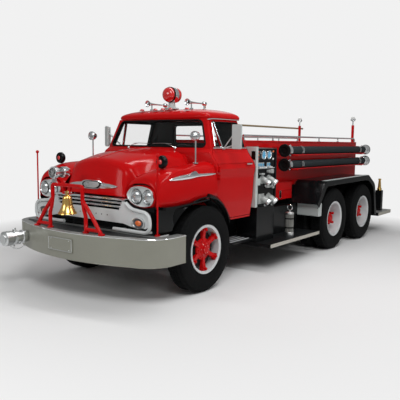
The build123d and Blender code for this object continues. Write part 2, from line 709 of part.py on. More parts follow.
def arch_section(y, half, low, shoulder, shoulder_z, crown, wall):
    """Closed hood section: straight flanks and an arched top, drawn inward by a wall."""
    half, shoulder = half - wall, shoulder - wall
    shoulder_z, crown = shoulder_z - wall, crown - wall
    edges = [
        Line((-half, y, low), (half, y, low)),
        Line((half, y, low), (shoulder, y, shoulder_z)),
        ThreePointArc((shoulder, y, shoulder_z), (0, y, crown), (-shoulder, y, shoulder_z)),
        Line((-shoulder, y, shoulder_z), (-half, y, low))]
    return make_face(Wire([edge.edge() for edge in edges]))


def hood():
    wall = 14.0
    outer = None
    for first, second in zip(HOOD_STATIONS, HOOD_STATIONS[1:]):
        span = loft([arch_section(*first, 0), arch_section(*second, 0)], ruled=True)
        outer = span if outer is None else outer + span
    # y shift and extra depth of the cavity at each station behind the nose
    cavity = [(y + move, half, low - drop, shoulder, shoulder_z, crown)
              for (y, half, low, shoulder, shoulder_z, crown), (move, drop) in zip(
                  HOOD_STATIONS[1:], ((wall, 20), (0, 60), (0, 60), (1, 60)))]
    inner = None
    for first, second in zip(cavity, cavity[1:]):
        span = loft([arch_section(*first, wall), arch_section(*second, wall)], ruled=True)
        inner = span if inner is None else inner + span
    shell = outer - inner
    pivot_y, pivot_z = HOOD_PIVOT
    for side in (-1, 1):
        eye = block(sorted((side * 205, side * 240)), (pivot_y - 50, pivot_y), (pivot_z - 8, 1632))
        eye += rod((side * 205, pivot_y, pivot_z), (side * 240, pivot_y, pivot_z), 12)
        eye -= rod((side * 200, pivot_y, pivot_z), (side * 245, pivot_y, pivot_z),
                   HOOD_PIN_R + SHAFT_GAP)
        shell += eye
    return shell


keep("hood", hood())

# ================================================================ front fenders


def fender_section(y, inner_x, inner_z, crown_x, crown_z, outer_x, outer_z, low, wall):
    """Closed ring section of one fender skin: inner valley, crown, flank."""
    outer = [(inner_x, inner_z), (crown_x, crown_z), (outer_x - 12, outer_z), (outer_x, low)]
    inner = [(outer_x - wall, low), (outer_x - 12 - wall, outer_z - wall),
             (crown_x - wall * 0.3, crown_z - wall), (inner_x, inner_z - wall)]
    return make_face(Polyline(*[(x, y, z) for x, z in outer + inner], close=True))


# y, valley x, valley z, crown x, crown z, flank x, flank z, lower edge
FENDER_STATIONS = [
    (FENDER_FRONT_Y, 514, 1262, 760, 1330, 960, 1240, 1200),
    (-720, 530, 1325, 800, 1405, 985, 1320, FENDER_LOW),
    (-450, 577, 1384, 850, 1440, FENDER_X, 1372, FENDER_LOW),
    (-100, 622, 1426, 860, 1462, FENDER_X, 1385, 1070),
    (DOOR_FRONT - HINGE_GAP, 670, 1462, 860, 1500, FENDER_X, 1392, 1095)]


def fender():
    """Left fender skin with its lamp brow, headlamp wall and arch lip behind the wheel."""
    skin = None
    for first, second in zip(FENDER_STATIONS, FENDER_STATIONS[1:]):
        span = loft([fender_section(*first, FENDER_T), fender_section(*second, FENDER_T)],
                    ruled=True)
        skin = span if skin is None else skin + span
    face = front_plate([(545, 1130), (560, 1250), (760, 1320), (955, 1235), (968, 1060),
                        (800, 1020), (650, 1040)], (LAMP_FACE_Y + 20 + SEAT_GAP, LAMP_FACE_Y + 34))
    for x in LAMP_X:
        face -= rod((x, -900, LAMP_Z), (x, -600, LAMP_Z), LAMP_R + SEAT_GAP)
    brow = loft([make_face(Polyline(*[(x, y, z) for x, z in (
        (565, z0), (760, z0 + 62), (950, z0 - 28), (940, z0 - 44), (760, z0 + 44), (570, z0 - 16))],
        close=True)) for y, z0 in ((FENDER_FRONT_Y + 6, 1258), (LAMP_FACE_Y + 34, 1276))], ruled=True)
    flank = side_plate([(LAMP_FACE_Y + 22, 1205), (LAMP_FACE_Y + 22, FENDER_LOW),
                        (-715, FENDER_LOW), (-715, 1300)], (952, 972))
    lip_out, lip_in = ARCH_R + ARCH_LIP, ARCH_R
    disc = Pos(0, 0, TYRE_R) * Rot(0, 90, 0)
    ring = disc * Pos(0, 0, 975) * Cylinder(lip_out, 18) - disc * Pos(0, 0, 975) * Cylinder(lip_in, 40)
    ring &= block((900, 1010), (60, 700), (CAB_FLOOR, 1110))
    made = skin + face + brow + flank + ring
    for z in DOOR_HINGE_Z:
        made -= block((960, 1010), (DOOR_HINGE_Y - 15, DOOR_HINGE_Y + 10), (z - 20, z + 20))
    return made


def splash_panels():
    """Dark wheelhouse arcs, flare ledges, forward splash plates and the wall behind the grille."""
    disc = Pos(0, 0, TYRE_R) * Rot(0, 90, 0)
    house_x = (790.0, 955.0)
    mid, width = sum(house_x) / 2, house_x[1] - house_x[0]
    house = disc * Pos(0, 0, mid) * Cylinder(ARCH_R - 2, width)
    house -= disc * Pos(0, 0, mid) * Cylinder(ARCH_R - 14, width + 2)
    house &= block((700, 1000), (-470, 560), (800, 1100))
    ledge_x = 1052.0
    ledge = side_plate([(-715, 1012), (-715, 1044.7), (-450, 1044.7), (-100, 1069.7), (55, 1079.8),
                        (55, 1064), (-100, 1052), (-450, 1027)], (930, ledge_x))
    forward = side_plate([(-750, 770), (-750, 1015), (-470, 1030), (-470, 850), (-520, 770)],
                         (930, 942))
    left = house + forward + ledge
    wall = front_plate([(-925, 760), (925, 760), (925, 985), (600, 1010), (560, 1100),
                        (-560, 1100), (-600, 1010), (-925, 985)], (SHELL_BACK_Y, SHELL_BACK_Y + 12))
    feet = both_sides(block((380, RAIL_X), (SHELL_BACK_Y, SHELL_BACK_Y + 12),
                            (RAIL_NOSE_TOP + SEAT_GAP, 780)))
    return group(left, mirror(left, about=Plane.YZ), wall + feet)


keep("splash_panels", splash_panels())

# ================================================================ cab shell
# height, half width, front at the middle, front at the sides
CAB_LOWER = [
    (CAB_FLOOR, 930, 190, 250), (1000, 968, 190, 250), (1300, 985, 190, 250),
    (1405, 1010, 190, 250), (1470, 985, 190, 250), (1600, 890, 190, 252), (BELT_Z, 872, 195, 300)]
CAB_UPPER = [(BELT_Z, 872, 195, 300), (EAVES_Z, 742, 345, 385)]
# height, half width, front middle, front side, rear, corner radius
ROOF_OUT = [(EAVES_Z, 770, 322, 366, 1150, 110), (2045, 772, 316, 362, 1152, 112),
            (2100, 722, 372, 432, 1120, 150), (2136, 590, 500, 560, 1020, 180),
            (ROOF_Z, 400, 640, 680, 900, 180)]
ROOF_SKIN = 34.0
REAR_CORNER = 95.0
REAR_TOP_Y = 1110.0
DOOR_SWING_GAP = 16.0
SILL_TOP = 790.0
CAB_FLOOR_Z = 890.0


def plan_section(z, half, front_mid, front_side, rear, corner):
    """Closed plan outline of the cab at one height: bowed front, rounded rear corners."""
    bulge = corner * (1 - sqrt(0.5))
    edges = [
        ThreePointArc((-half, front_side, z), (0, front_mid, z), (half, front_side, z)),
        Line((half, front_side, z), (half, rear - corner, z)),
        ThreePointArc((half, rear - corner, z), (half - bulge, rear - bulge, z),
                      (half - corner, rear, z)),
        Line((half - corner, rear, z), (corner - half, rear, z)),
        ThreePointArc((corner - half, rear, z), (bulge - half, rear - bulge, z),
                      (-half, rear - corner, z)),
        Line((-half, rear - corner, z), (-half, front_side, z))]
    return make_face(Wire([edge.edge() for edge in edges]))


def cab_solid(stations, wall):
    """Stack of ruled lofts through the cab's plan outlines, drawn inward by a wall."""
    solid = None
    faces = []
    for z, half, front_mid, front_side in stations:
        rear = CAB_REAR if z <= BELT_Z else REAR_TOP_Y
        faces.append(plan_section(z, half - wall, front_mid + wall, front_side + wall,
                                  rear - wall, REAR_CORNER))
    for low, high in zip(faces, faces[1:]):
        span = loft([low, high], ruled=True)
        solid = span if solid is None else solid + span
    return solid


def door_outline(gap, swing):
    """Door edge as (y, z), grown by a gap all round and by the swing gap at the rear."""
    return [(DOOR_FRONT - gap, SILL_TOP - gap), (DOOR_FRONT - gap, 1565),
            (352 - gap, BELT_Z + 6), (441 - gap, EAVES_Z - HINGE_GAP + gap),
            (1062 + swing, EAVES_Z - HINGE_GAP + gap), (1092 + swing, BELT_Z + 6),
            (DOOR_REAR + swing, 1600), (DOOR_REAR + swing, SILL_TOP - gap)]


def windshield_cut(margin):
    """Cutter for the windshield opening."""
    base, top = 800 - margin, 680 - margin
    return front_plate([(-base, BELT_Z + 26 + margin), (base, BELT_Z + 26 + margin),
                        (top, EAVES_Z - 22 - margin), (-top, EAVES_Z - 22 - margin)], (100, 520))


def rear_window_cut(margin, y):
    half_low, half_top = 400 - margin, 370 - margin
    return front_plate([(-half_low, 1700 + margin), (half_low, 1700 + margin),
                        (half_top, 1955 - margin), (-half_top, 1955 - margin)], y)


def arch_disc(radius, x):
    return rod((x[0], 0, TYRE_R), (x[1], 0, TYRE_R), radius)


LOWER_OUT, LOWER_IN = cab_solid(CAB_LOWER, 0), cab_solid(CAB_LOWER, CAB_WALL)
UPPER_OUT, UPPER_IN = cab_solid(CAB_UPPER, 0), cab_solid(CAB_UPPER, CAB_WALL)


def cab_shell():
    """Cab below the roof: cowl, pillars, back wall, sills and stepped floor, doors cut out."""
    shell = (LOWER_OUT - LOWER_IN) + (UPPER_OUT - UPPER_IN)
    riser_y = CAB_STEP_Y - FLOOR_T
    for y, z in (((riser_y, CAB_REAR), (CAB_FLOOR_Z, CAB_FLOOR_Z + FLOOR_T)),
                 ((riser_y, CAB_STEP_Y), (CAB_FLOOR_Z, CAB_STEP_Z + FLOOR_T)),
                 ((200, CAB_STEP_Y), (CAB_STEP_Z, CAB_STEP_Z + FLOOR_T))):
        shell += LOWER_IN & block((-940, 940), y, z)
    shell -= block((-1100, 1100), (0, riser_y), (700, CAB_STEP_Z))
    shell -= block((-800, 800), (500, CAB_REAR + 10), (700, CAB_FLOOR_Z))
    low = side_plate(door_outline(HINGE_GAP, DOOR_SWING_GAP), (850, 1100))
    high = side_plate(door_outline(HINGE_GAP, DOOR_SWING_GAP), (640, 1100)) & block(
        (640, 1100), (0, 1300), (1560, EAVES_Z + 1))
    top_cut = block((640, 1100), (446, 1070), (EAVES_Z - 20, EAVES_Z + 1))
    for cutter in (low, high, top_cut):
        shell -= cutter
        shell -= mirror(cutter, about=Plane.YZ)
    shell -= windshield_cut(0)
    shell -= rear_window_cut(0, (1040, 1250))
    for lug in (*hinge_lugs(), hood_bracket()):
        shell += lug
        shell += mirror(lug, about=Plane.YZ)
    return shell


def cab_roof():
    """Crowned roof pressing with a brow over the windshield."""
    outer = loft([plan_section(*row) for row in ROOF_OUT], ruled=True)
    inner = loft([plan_section(z - (0 if index == 0 else ROOF_SKIN * 0.8), half - ROOF_SKIN,
                               front_mid + ROOF_SKIN, front_side + ROOF_SKIN,
                               rear - ROOF_SKIN, corner - ROOF_SKIN)
                  for index, (z, half, front_mid, front_side, rear, corner) in enumerate(ROOF_OUT)],
                 ruled=True)
    return outer - inner


def cab_glass():
    """Bowed windshield and flat rear window, set into the middle of the wall."""
    sheet = cab_solid(CAB_UPPER, 18) - cab_solid(CAB_UPPER, 18 + GLASS_T)
    rear = sheet & rear_window_cut(0.5, (1040, 1250))
    return group(sheet & windshield_cut(0.5), rear)


def window_cut(margin):
    """Side glass area within the door frame, as (y, z)."""
    return side_plate([(388 + margin, BELT_Z + 18 + margin), (466 + margin, EAVES_Z - 38 - margin),
                       (1036 - margin, EAVES_Z - 38 - margin), (1060 - margin, BELT_Z + 18 + margin)],
                      (600, 1100))


def hinge_lugs():
    """Left door hinge lugs that stand out from the cowl side, bored for the door's pins."""
    lugs = []
    for z in DOOR_HINGE_Z:
        lug = rod((DOOR_HINGE_X, DOOR_HINGE_Y, z - 14), (DOOR_HINGE_X, DOOR_HINGE_Y, z + 14), 9)
        lug += block((965, DOOR_HINGE_X), (DOOR_HINGE_Y - 9, DOOR_HINGE_Y - 4), (z - 14, z + 14))
        lug -= rod((DOOR_HINGE_X, DOOR_HINGE_Y, z - 20), (DOOR_HINGE_X, DOOR_HINGE_Y, z + 20),
                   DOOR_PIN_R + SHAFT_GAP)
        lugs.append(lug)
    return lugs


def hood_bracket():
    """Left bracket on the cowl front with the hood's hinge pin."""
    y, z = HOOD_PIVOT
    arm = side_plate([(y - 5, z - 9), (196, z - 60), (196, z - 24), (y + 10, z)], (185, 199))
    return arm + rod((185, y, z), (199, y, z), 11) + rod((185, y, z), (243, y, z), HOOD_PIN_R)


def vent_post(margin):
    """Slanted post between the vent pane and the main side glass."""
    return side_plate([(500 - margin, EAVES_Z - 20), (516 + margin, EAVES_Z - 20),
                       (566 + margin, BELT_Z + 10), (550 - margin, BELT_Z + 10)], (600, 1100))


def door():
    """Left door: one full-thickness panel with its window frame, vent post and arch cut."""
    edge = side_plate(door_outline(0, 0), (858, 1100))
    edge += side_plate(door_outline(0, 0), (700, 860)) & block((700, 862), (0, 1300), (1568, 1700))
    skin = (LOWER_OUT - LOWER_IN) & edge
    frame = (UPPER_OUT - cab_solid(CAB_UPPER, FRAME_T)) & side_plate(door_outline(0, 0), (600, 1100))
    panel = skin + frame
    panel -= arch_disc(ARCH_R + ARCH_LIP + HINGE_GAP, (700, 1100))
    post = frame & vent_post(0)
    panel -= window_cut(0)
    panel += post
    for y in (905, 985):
        panel += rod((970, y, HANDLE_Z), (1018, y, HANDLE_Z), 8)
    panel += rod((1018, 880, HANDLE_Z), (1018, 1000, HANDLE_Z), 9)
    for z in DOOR_HINGE_Z:
        for low in (z - 34, z + 16):
            panel += block((960, DOOR_HINGE_X + 5), (DOOR_HINGE_Y - 3, DOOR_HINGE_Y + 16),
                           (low, low + 18))
        panel += rod((DOOR_HINGE_X, DOOR_HINGE_Y, z - 34), (DOOR_HINGE_X, DOOR_HINGE_Y, z + 34),
                     DOOR_PIN_R)
    return panel


def door_glass():
    sheet = cab_solid(CAB_UPPER, 9) - cab_solid(CAB_UPPER, 9 + GLASS_T)
    pane = (sheet & window_cut(SEAT_GAP)) - vent_post(1)
    return group(pane & block((600, 1100), (300, 1200), (1500, 2100)))


MIRROR = (1117.0, 490.0, 1790.0)


def door_mirror():
    """Tall mirror head on a V brace from the door frame."""
    x, y, z = MIRROR
    head = block((x - 62, x + 62), (y - 12, y + 16), (z - 145, z + 145))
    head = fillet(head.edges().filter_by(Axis.Y), 14)
    face = CAB_UPPER[0][1] + SEAT_GAP
    head += block((face, face + 22), (540, 580), (BELT_Z, BELT_Z + 20))
    for tip in ((x, y + 6, z + 90), (x, y + 6, z - 90)):
        head += rod((face + 10, 560, BELT_Z + 10), tip, 7)
    return head


keep("signal_lamps", signal_lamps())
keep("front_fenders", both_sides(fender() - cab_solid(CAB_LOWER, -SEAT_GAP)))
keep("cab_shell", cab_shell())
keep("cab_roof", cab_roof())
keep("cab_glass", cab_glass())
keep("left_door", door())
keep("left_door_glass", door_glass())
keep("left_mirror", door_mirror())
for name in ("left_door", "left_door_glass", "left_mirror"):
    keep(name.replace("left_", "right_"), mirror(NODES[name], about=Plane.YZ))

# ================================================================ cab interior
AXIS = (0.0, sin(radians(WHEEL_TILT)), cos(radians(WHEEL_TILT)))


def along_column(distance):
    """Point on the steering axis, measured down from the wheel's centre."""
    x, y, z = STEERING_CENTRE
    return (x, y - AXIS[1] * distance, z - AXIS[2] * distance)


def dashboard():
    """Dash panel across the cab with the steering column under it."""
    panel = block((-780, 780), (320, 430), (1470, 1615))
    stay = block((660, 700), (200, 330), (1470, 1600)) & cab_solid(CAB_LOWER, CAB_WALL + SEAT_GAP)
    panel += stay + mirror(stay, about=Plane.YZ)
    column = rod(along_column(60), along_column(490), 27)
    column += block((355, 405), (395, 428), (1375, 1475))
    column -= rod(along_column(50), along_column(105), 13 + SHAFT_GAP)
    return panel + column


def seat():
    """Bench seat: plinth, cushion and back rest."""
    cushion = block((-770, 770), (670, 1110), (SEAT_TOP - 150, SEAT_TOP))
    back = block((-770, 770), (1000, 1110), (SEAT_TOP - 4, 1660))
    cushion = fillet((cushion + back).edges().filter_by(Axis.X), 22)
    plinth = block((-740, 740), (700, 1100), (CAB_FLOOR_Z + FLOOR_T + SEAT_GAP, SEAT_TOP - 148))
    return cushion + plinth


def steering_wheel():
    """Rim, hub and three spokes square to the column."""
    plane = Plane(origin=STEERING_CENTRE, z_dir=AXIS)
    wheel = plane * Torus(STEERING_R, 12)
    wheel += rod(along_column(-22), along_column(40), 42)
    wheel += rod(along_column(38), along_column(100), 13)
    for angle in (90, 210, 330):
        spoke = Pos(STEERING_R / 2, 0, 0) * Box(STEERING_R, 20, 10)
        wheel += plane * Rot(0, 0, angle) * spoke
    return wheel


keep("dashboard", dashboard())
keep("cab_seat", seat())
keep("steering_wheel", steering_wheel())

# ================================================================ roof and cowl fittings


def roof_top(x, y, radius=1):
    return skin_top(NODES["cab_roof"], x, y, radius)


def roof_beacon():
    """Large lens drum with a bright band on a pedestal."""
    y, z = 610.0, 2336.0
    base_z = roof_top(0, y, 95)
    lens = turned([(0, -104), (70, -92), (98, -52), (102, -20), (102, 20), (98, 52), (70, 92), (0, 104)],
                  (0, y, z), (0, 1, 0))
    stand = turned([(0, 0), (95, 0), (95, 12), (46, 26), (40, 2260 - base_z), (0, 2260 - base_z)],
                   (0, y, base_z), (0, 0, 1))
    return lens + stand


def air_horns():
    """Two long trumpets on brackets, bells forward."""
    horns = []
    for side in (-1, 1):
        x, z, front = side * 342, 2226, 505
        profile = [(0, 0), (44, 0), (40, 14), (22, 50), (12, 120), (10, 330), (26, 338), (26, 392),
                   (0, 396)]
        horn = turned(profile, (x, front, z), (0, 1, 0))
        for y in (front + 90, front + 360):
            top = roof_top(x, y, 26)
            horn += block((x - 12, x + 12), (y - 10, y + 10), (top, z))
            horn += block((x - 24, x + 24), (y - 14, y + 14), (top, top + 6))
        horns.append(horn)
    return group(*horns)


def roof_markers():
    """Row of small domed lamps along the front of the roof."""
    lamps = []
    for x in (-385, -130, 0, 130, 385):
        y = 450 if abs(x) > 200 else 430
        base = roof_top(x, y, 30)
        lamp = block((x - 32, x + 32), (y - 28, y + 28), (base, base + 22))
        lamp = fillet(lamp.edges().filter_by(Axis.Z), 12)
        lamps.append(lamp)
    return group(*lamps)


def cowl_spotlights():
    """Chrome spot lamps on slim stems above the fender crowns."""
    x, y, z = 872.0, 10.0, 1790.0
    head = turned([(0, -58), (30, -48), (52, -18), (58, 10), (58, 22), (0, 26)], (x, y, z), (0, -1, 0))
    base = skin_top(fender(), x, y, 34)
    stem = rod((x, y, base), (x, y, z), 9) + rod((x, y, base), (x, y, base + 12), 34)
    return both_sides(head + stem)


keep("air_horns", air_horns())
keep("roof_lamps", group(roof_beacon(), roof_markers()))
keep("cowl_spotlights", cowl_spotlights())

# ================================================================ pump module
OUTLET_ROWS = ((1225.0, 52.0), (965.0, 60.0))       # height, radius
OUTLET_Y = (1420.0, 1600.0)
GAUGE_Y = (1430.0, 1572.0)
GAUGE_Z = 1560.0
GAUGE_R = 62.0


def pump_module():
    """Pump house across the frame with recessed panels and a forward bulkhead plate."""
    house = block((-PUMP_X, PUMP_X), (PUMP_FRONT + 25, PUMP_REAR), (PUMP_BOTTOM, PUMP_TOP))
    house += block((-PUMP_X - 30, PUMP_X + 30), (PUMP_FRONT, PUMP_FRONT + 26),
                   (PUMP_BOTTOM, PUMP_TOP + 20))
    house += block((-420, 420), (PUMP_FRONT + 60, PUMP_REAR - 40), (RAIL_TOP + SEAT_GAP, PUMP_BOTTOM))
    for side in (-1, 1):
        recess = block(sorted((side * (PUMP_X - 12), side * (PUMP_X + 5))),
                       (PUMP_FRONT + 70, PUMP_REAR - 40), (PUMP_BOTTOM + 24, PUMP_TOP - 20))
        house -= recess
        frame_bar = block(sorted((side * (PUMP_X - 4), side * (PUMP_X + 30))),
                          (PUMP_FRONT + 20, PUMP_FRONT + 55), (PUMP_BOTTOM, PUMP_TOP + 20))
        house += frame_bar
    return house


def pump_fittings():
    """Capped outlets, gauges and a row of valve handles on each panel."""
    face = PUMP_X - 12 + SEAT_GAP
    parts = []
    for z, r in OUTLET_ROWS:
        for y in OUTLET_Y:
            parts.append(turned([(0, 0), (r + 10, 0), (r + 10, 12), (r - 8, 16), (r - 8, 50), (r, 54),
                                 (r, 92), (r - 12, 100), (0, 100)], (face, y, z), (1, 0, 0)))
    for y in GAUGE_Y:
        parts.append(turned([(0, 0), (GAUGE_R, 0), (GAUGE_R, 22), (GAUGE_R - 8, 28), (0, 28)],
                            (face, y, GAUGE_Z), (1, 0, 0)))
    for index in range(5):
        y = 1345 + index * 82
        parts.append(turned([(0, 0), (20, 0), (20, 8), (9, 12), (9, 40), (24, 44), (24, 58), (0, 60)],
                            (face, y, 1420), (1, 0, 0)))
    return both_sides(group(*parts))


keep("pump_module", pump_module())
keep("pump_fittings", pump_fittings())

# ================================================================ tank body and rear
SHELF_Z = 1125.0
SKIRT_X = 705.0
SKIRT_REAR = 2700.0


def tank_body():
    """Tank body with an open hose bed on top, a band over the pump and a lower skirt."""
    body = block((-BODY_X, BODY_X), (PUMP_REAR + SEAT_GAP, BODY_REAR), (BODY_LOW, BODY_TOP))
    body += block((-BODY_X, BODY_X), (BODY_FRONT, PUMP_REAR + 40), (PUMP_TOP + 20 + SEAT_GAP, BODY_TOP))
    body += block((-SKIRT_X, SKIRT_X), (PUMP_REAR + SEAT_GAP, SKIRT_REAR), (PUMP_BOTTOM, SHELF_Z))
    body += block((-560, 560), (PUMP_REAR + SEAT_GAP, BODY_REAR), (RAIL_TOP + SEAT_GAP, BODY_LOW + 2))
    body += block((-BODY_X, BODY_X), (BODY_REAR - 40, BODY_REAR), (RAIL_TOP + SEAT_GAP, BODY_LOW + 2))
    body -= block((-BODY_X + BED_WALL, BODY_X - BED_WALL), (PUMP_REAR + BED_WALL, BODY_REAR - BED_WALL),
                  (BED_FLOOR, BODY_TOP + 10))
    for side in (-1, 1):
        for z in HOSE_Z:
            for y in (HOSE_FRONT + 330, HOSE_REAR - 330):
                arm = block(sorted((side * (BODY_X - 4), side * (HOSE_X + 66))), (y - 12, y + 12),
                            (z - HOSE_R - 24, z - HOSE_R - SEAT_GAP))
                body += arm
    return body


def body_rails():
    """Hand rail on short posts along each side of the body, bent down at the rear."""
    x = BODY_X - 32
    rails_made = []
    for side in (-1, 1):
        points = [(side * x, 1400, BODY_RAIL_Z), (side * x, BODY_REAR - 20, BODY_RAIL_Z),
                  (side * x, BODY_REAR - 20, BODY_TOP + SEAT_GAP)]
        rail = bent_tube(points, BODY_RAIL_R, 50)
        for y in (1420, 2220, 3020, 3820, 4620):
            rail += rod((side * x, y, BODY_TOP + SEAT_GAP), (side * x, y, BODY_RAIL_Z), 11)
            rail += rod((side * x, y, BODY_TOP + SEAT_GAP), (side * x, y, BODY_TOP + 8), 24)
        rails_made.append(rail)
    return group(*rails_made)


def rear_posts():
    """Two square posts at the body's rear corners, each with a globe lamp on a stem."""
    posts = []
    for side in (-1, 1):
        x, y = side * (BODY_X - 72), BODY_REAR - 24
        post = block((x - 20, x + 20), (y - 20, y + 20), (BODY_TOP + SEAT_GAP, POST_TOP))
        post += rod((x, y, POST_TOP - 4), (x, y, POST_TOP + 90), 11)
        post += turned([(0, 0), (38, 14), (52, 44), (38, 60), (30, 84), (0, 92)], (x, y, POST_TOP + 70),
                       (0, 0, 1))
        posts.append(post)
    return group(*posts)


def ladder_pole():
    """Round pike pole carried high on the right side by the rear post and a front stand."""
    x = -(BODY_X - 72) - 20 - 17 - SEAT_GAP
    z = 2030.0
    pole = rod((x, 1300, z), (x, 5640, z), 17)
    pole += rod((x, 1360, BODY_TOP + SEAT_GAP), (x, 1360, z), 12)
    return pole


def suction_hoses():
    """Two hard suction hoses a side, with a flared coupling at each end."""
    hoses = []
    for side in (-1, 1):
        for z in HOSE_Z:
            profile = [(0, 30), (HOSE_R - 12, 30), (HOSE_R - 4, 0), (COUPLING_R, 0), (COUPLING_R, 30),
                       (HOSE_R + 14, 70), (HOSE_R + 14, 150), (HOSE_R, 160)]
            length = HOSE_REAR - HOSE_FRONT
            profile += [(r, length - at) for r, at in reversed(profile[2:])] + [(0, length)]
            hoses.append(turned(profile, (side * HOSE_X, HOSE_FRONT, z), (0, 1, 0)))
    return group(*hoses)


def hose_trays():
    """Red rods under and beside each hose, joined by bright straps from the body side."""
    trays = []
    for side in (-1, 1):
        for z in HOSE_Z:
            low = z - HOSE_R - 18 + SEAT_GAP
            for offset in (-52, 52):
                x = side * (HOSE_X + offset)
                trays.append(rod((x, HOSE_FRONT + 170, low + 14), (x, HOSE_REAR - 170, low + 14), 9))
    return group(*trays)


keep("tank_body", group(tank_body() + hose_trays()))
keep("body_rails", group(body_rails(), rear_posts()))
keep("ladder_pole", ladder_pole())
keep("suction_hoses", suction_hoses())

# ================================================================ rear fenders, boards, boxes


def tandem_fenders():
    """Bent sheet over both axles, with a deep outer lip."""
    front, rear = REAR_AXLE_Y
    path = [(front - 760, 800), (front - 470, FENDER_TOP - 20), (rear + 130, FENDER_TOP),
            (rear + 470, 980), (rear + 600, 400)]
    sheet = band(path, 14, (FENDER_IN, FENDER_OUT), 160)
    lip = band(path, 84, (FENDER_OUT - 16, FENDER_OUT), 160)
    return both_sides(sheet + lip)


def running_boards():
    """Board each side on its frame brackets, and the cab step hung from its riser."""
    parts = [block((BOARD_IN, BOARD_X), (BOARD_FRONT, BOARD_REAR), (BOARD_Z, BOARD_Z + BOARD_T))]
    for y in (1500, 2500):
        parts.append(block((RAIL_X + 16 + SEAT_GAP, BOARD_IN - SEAT_GAP), (y - 30, y + 30),
                           (BOARD_Z, BOARD_Z + 20)))
        parts.append(block((RAIL_X + SEAT_GAP, RAIL_X + 16), (y - 30, y + 30),
                           (BOARD_Z, RAIL_TOP - 40)))
    parts.append(block((BOARD_IN + 16 + SEAT_GAP, 940), (705, 1185), (430, 450)))
    parts.append(block((BOARD_IN, BOARD_IN + 16), (705, BOARD_FRONT - SEAT_GAP),
                       (BOARD_Z + 4, CAB_FLOOR - 4)))
    return both_sides(group(*parts))


def side_boxes():
    """Dark battery box ahead of the board and a lower, set-back locker behind it."""
    base = BOARD_Z + BOARD_T + SEAT_GAP
    front = block((630, 950), (BOARD_FRONT + 10, 1720), (base, PUMP_BOTTOM - SEAT_GAP))
    locker = block((500, 800), (1760, BOARD_REAR - 10), (base, 790))
    return both_sides(group(front, locker))


def step_boxes():
    """Bright step box ahead of each tandem wheel."""
    box = block((760, 1150), (BOARD_REAR - 4, BOARD_REAR + 120), (600, 806))
    box = fillet(box.edges().filter_by(Axis.X), 18)
    box += block((FENDER_IN + 40, 762), (BOARD_REAR + 10, BOARD_REAR + 70), (640, 700))
    box += block((RAIL_X + SEAT_GAP, FENDER_IN + 60), (BOARD_REAR + 10, BOARD_REAR + 70),
                 (640, 700))
    return both_sides(box)


def extinguisher():
    """Pump-tank extinguisher standing on the left board, with a ring handle."""
    x, y, base = 1050.0, 2000.0, BOARD_Z + BOARD_T + SEAT_GAP
    can = turned([(0, 0), (64, 0), (64, 60), (60, 64), (60, 330), (40, 362), (0, 366)], (x, y, base),
                 (0, 0, 1))
    can += rod((x, y, base + 360), (x, y, base + 386), 12)
    ring = Pos(x, y, base + 418) * Rot(90, 0, 0) * Torus(38, 6)
    return can + ring


def tailboard():
    """Rear step on two hangers from the frame."""
    board = block((-TAIL_X, TAIL_X), (TAIL_FRONT, REAR_REACH), (TAIL_Z, TAIL_Z + TAIL_T))
    for side in (-1, 1):
        board += block(sorted((side * (RAIL_X + SEAT_GAP), side * (RAIL_X + 20))),
                       (RAIL_REAR - 200, TAIL_FRONT + 120), (TAIL_Z, RAIL_TOP - 40))
    return board


def tail_lamps():
    """Lamp column at each corner of the tailboard."""
    base = TAIL_Z + TAIL_T + SEAT_GAP
    column = block((945, 1065), (5830, 5930), (base, 800))
    column += turned([(0, 0), (46, 0), (46, 18), (30, 30), (0, 32)], (1005, 5930, 560), (0, 1, 0))
    return both_sides(column)


def brass_nozzles():
    """Play pipe standing on each lamp column."""
    nozzle = turned([(0, 0), (44, 0), (44, 40), (34, 50), (26, 150), (22, 200), (28, 210), (28, 232),
                     (0, 232)], (1005, 5880, 800 + SEAT_GAP), (0, 0, 1))
    return both_sides(nozzle)


keep("tandem_fenders", tandem_fenders())
keep("running_boards", group(running_boards(), side_boxes()))
keep("step_boxes", step_boxes())
keep("extinguisher", extinguisher())
keep("tailboard", tailboard())
keep("tail_fittings", group(tail_lamps(), brass_nozzles()))

# ================================================================ export
os.makedirs("parts", exist_ok=True)
for name, shape in NODES.items():
    moved = Pos(0, ORIGIN_SHIFT, 0) * shape
    export_step(moved, f"parts/{name}.step")
print(len(NODES), "nodes")
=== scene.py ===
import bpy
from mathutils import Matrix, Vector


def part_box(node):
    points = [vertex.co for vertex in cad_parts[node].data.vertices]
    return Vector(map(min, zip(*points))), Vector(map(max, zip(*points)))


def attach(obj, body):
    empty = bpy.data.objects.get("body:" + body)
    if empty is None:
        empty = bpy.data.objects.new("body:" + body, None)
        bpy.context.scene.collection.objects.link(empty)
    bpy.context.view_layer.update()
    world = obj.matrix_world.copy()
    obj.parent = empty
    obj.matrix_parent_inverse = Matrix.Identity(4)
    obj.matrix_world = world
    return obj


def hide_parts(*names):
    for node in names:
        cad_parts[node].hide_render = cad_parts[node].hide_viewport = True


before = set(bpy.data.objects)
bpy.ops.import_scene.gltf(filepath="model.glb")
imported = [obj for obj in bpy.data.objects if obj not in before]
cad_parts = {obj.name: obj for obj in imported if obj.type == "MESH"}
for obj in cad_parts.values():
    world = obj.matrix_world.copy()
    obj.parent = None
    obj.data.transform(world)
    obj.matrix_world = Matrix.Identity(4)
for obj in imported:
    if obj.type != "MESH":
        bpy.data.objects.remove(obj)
"""Dresses the tandem-axle fire engine: finishes, fittings, treads and trim around the fixed frame.

Points are in metres.  Radii, profiles, edges and places given to at() are in millimetres.
"""
from cmath import exp, phase
from itertools import product
from math import cos, pi, radians, sin

import bmesh
import bpy
from mathutils import Matrix, Vector

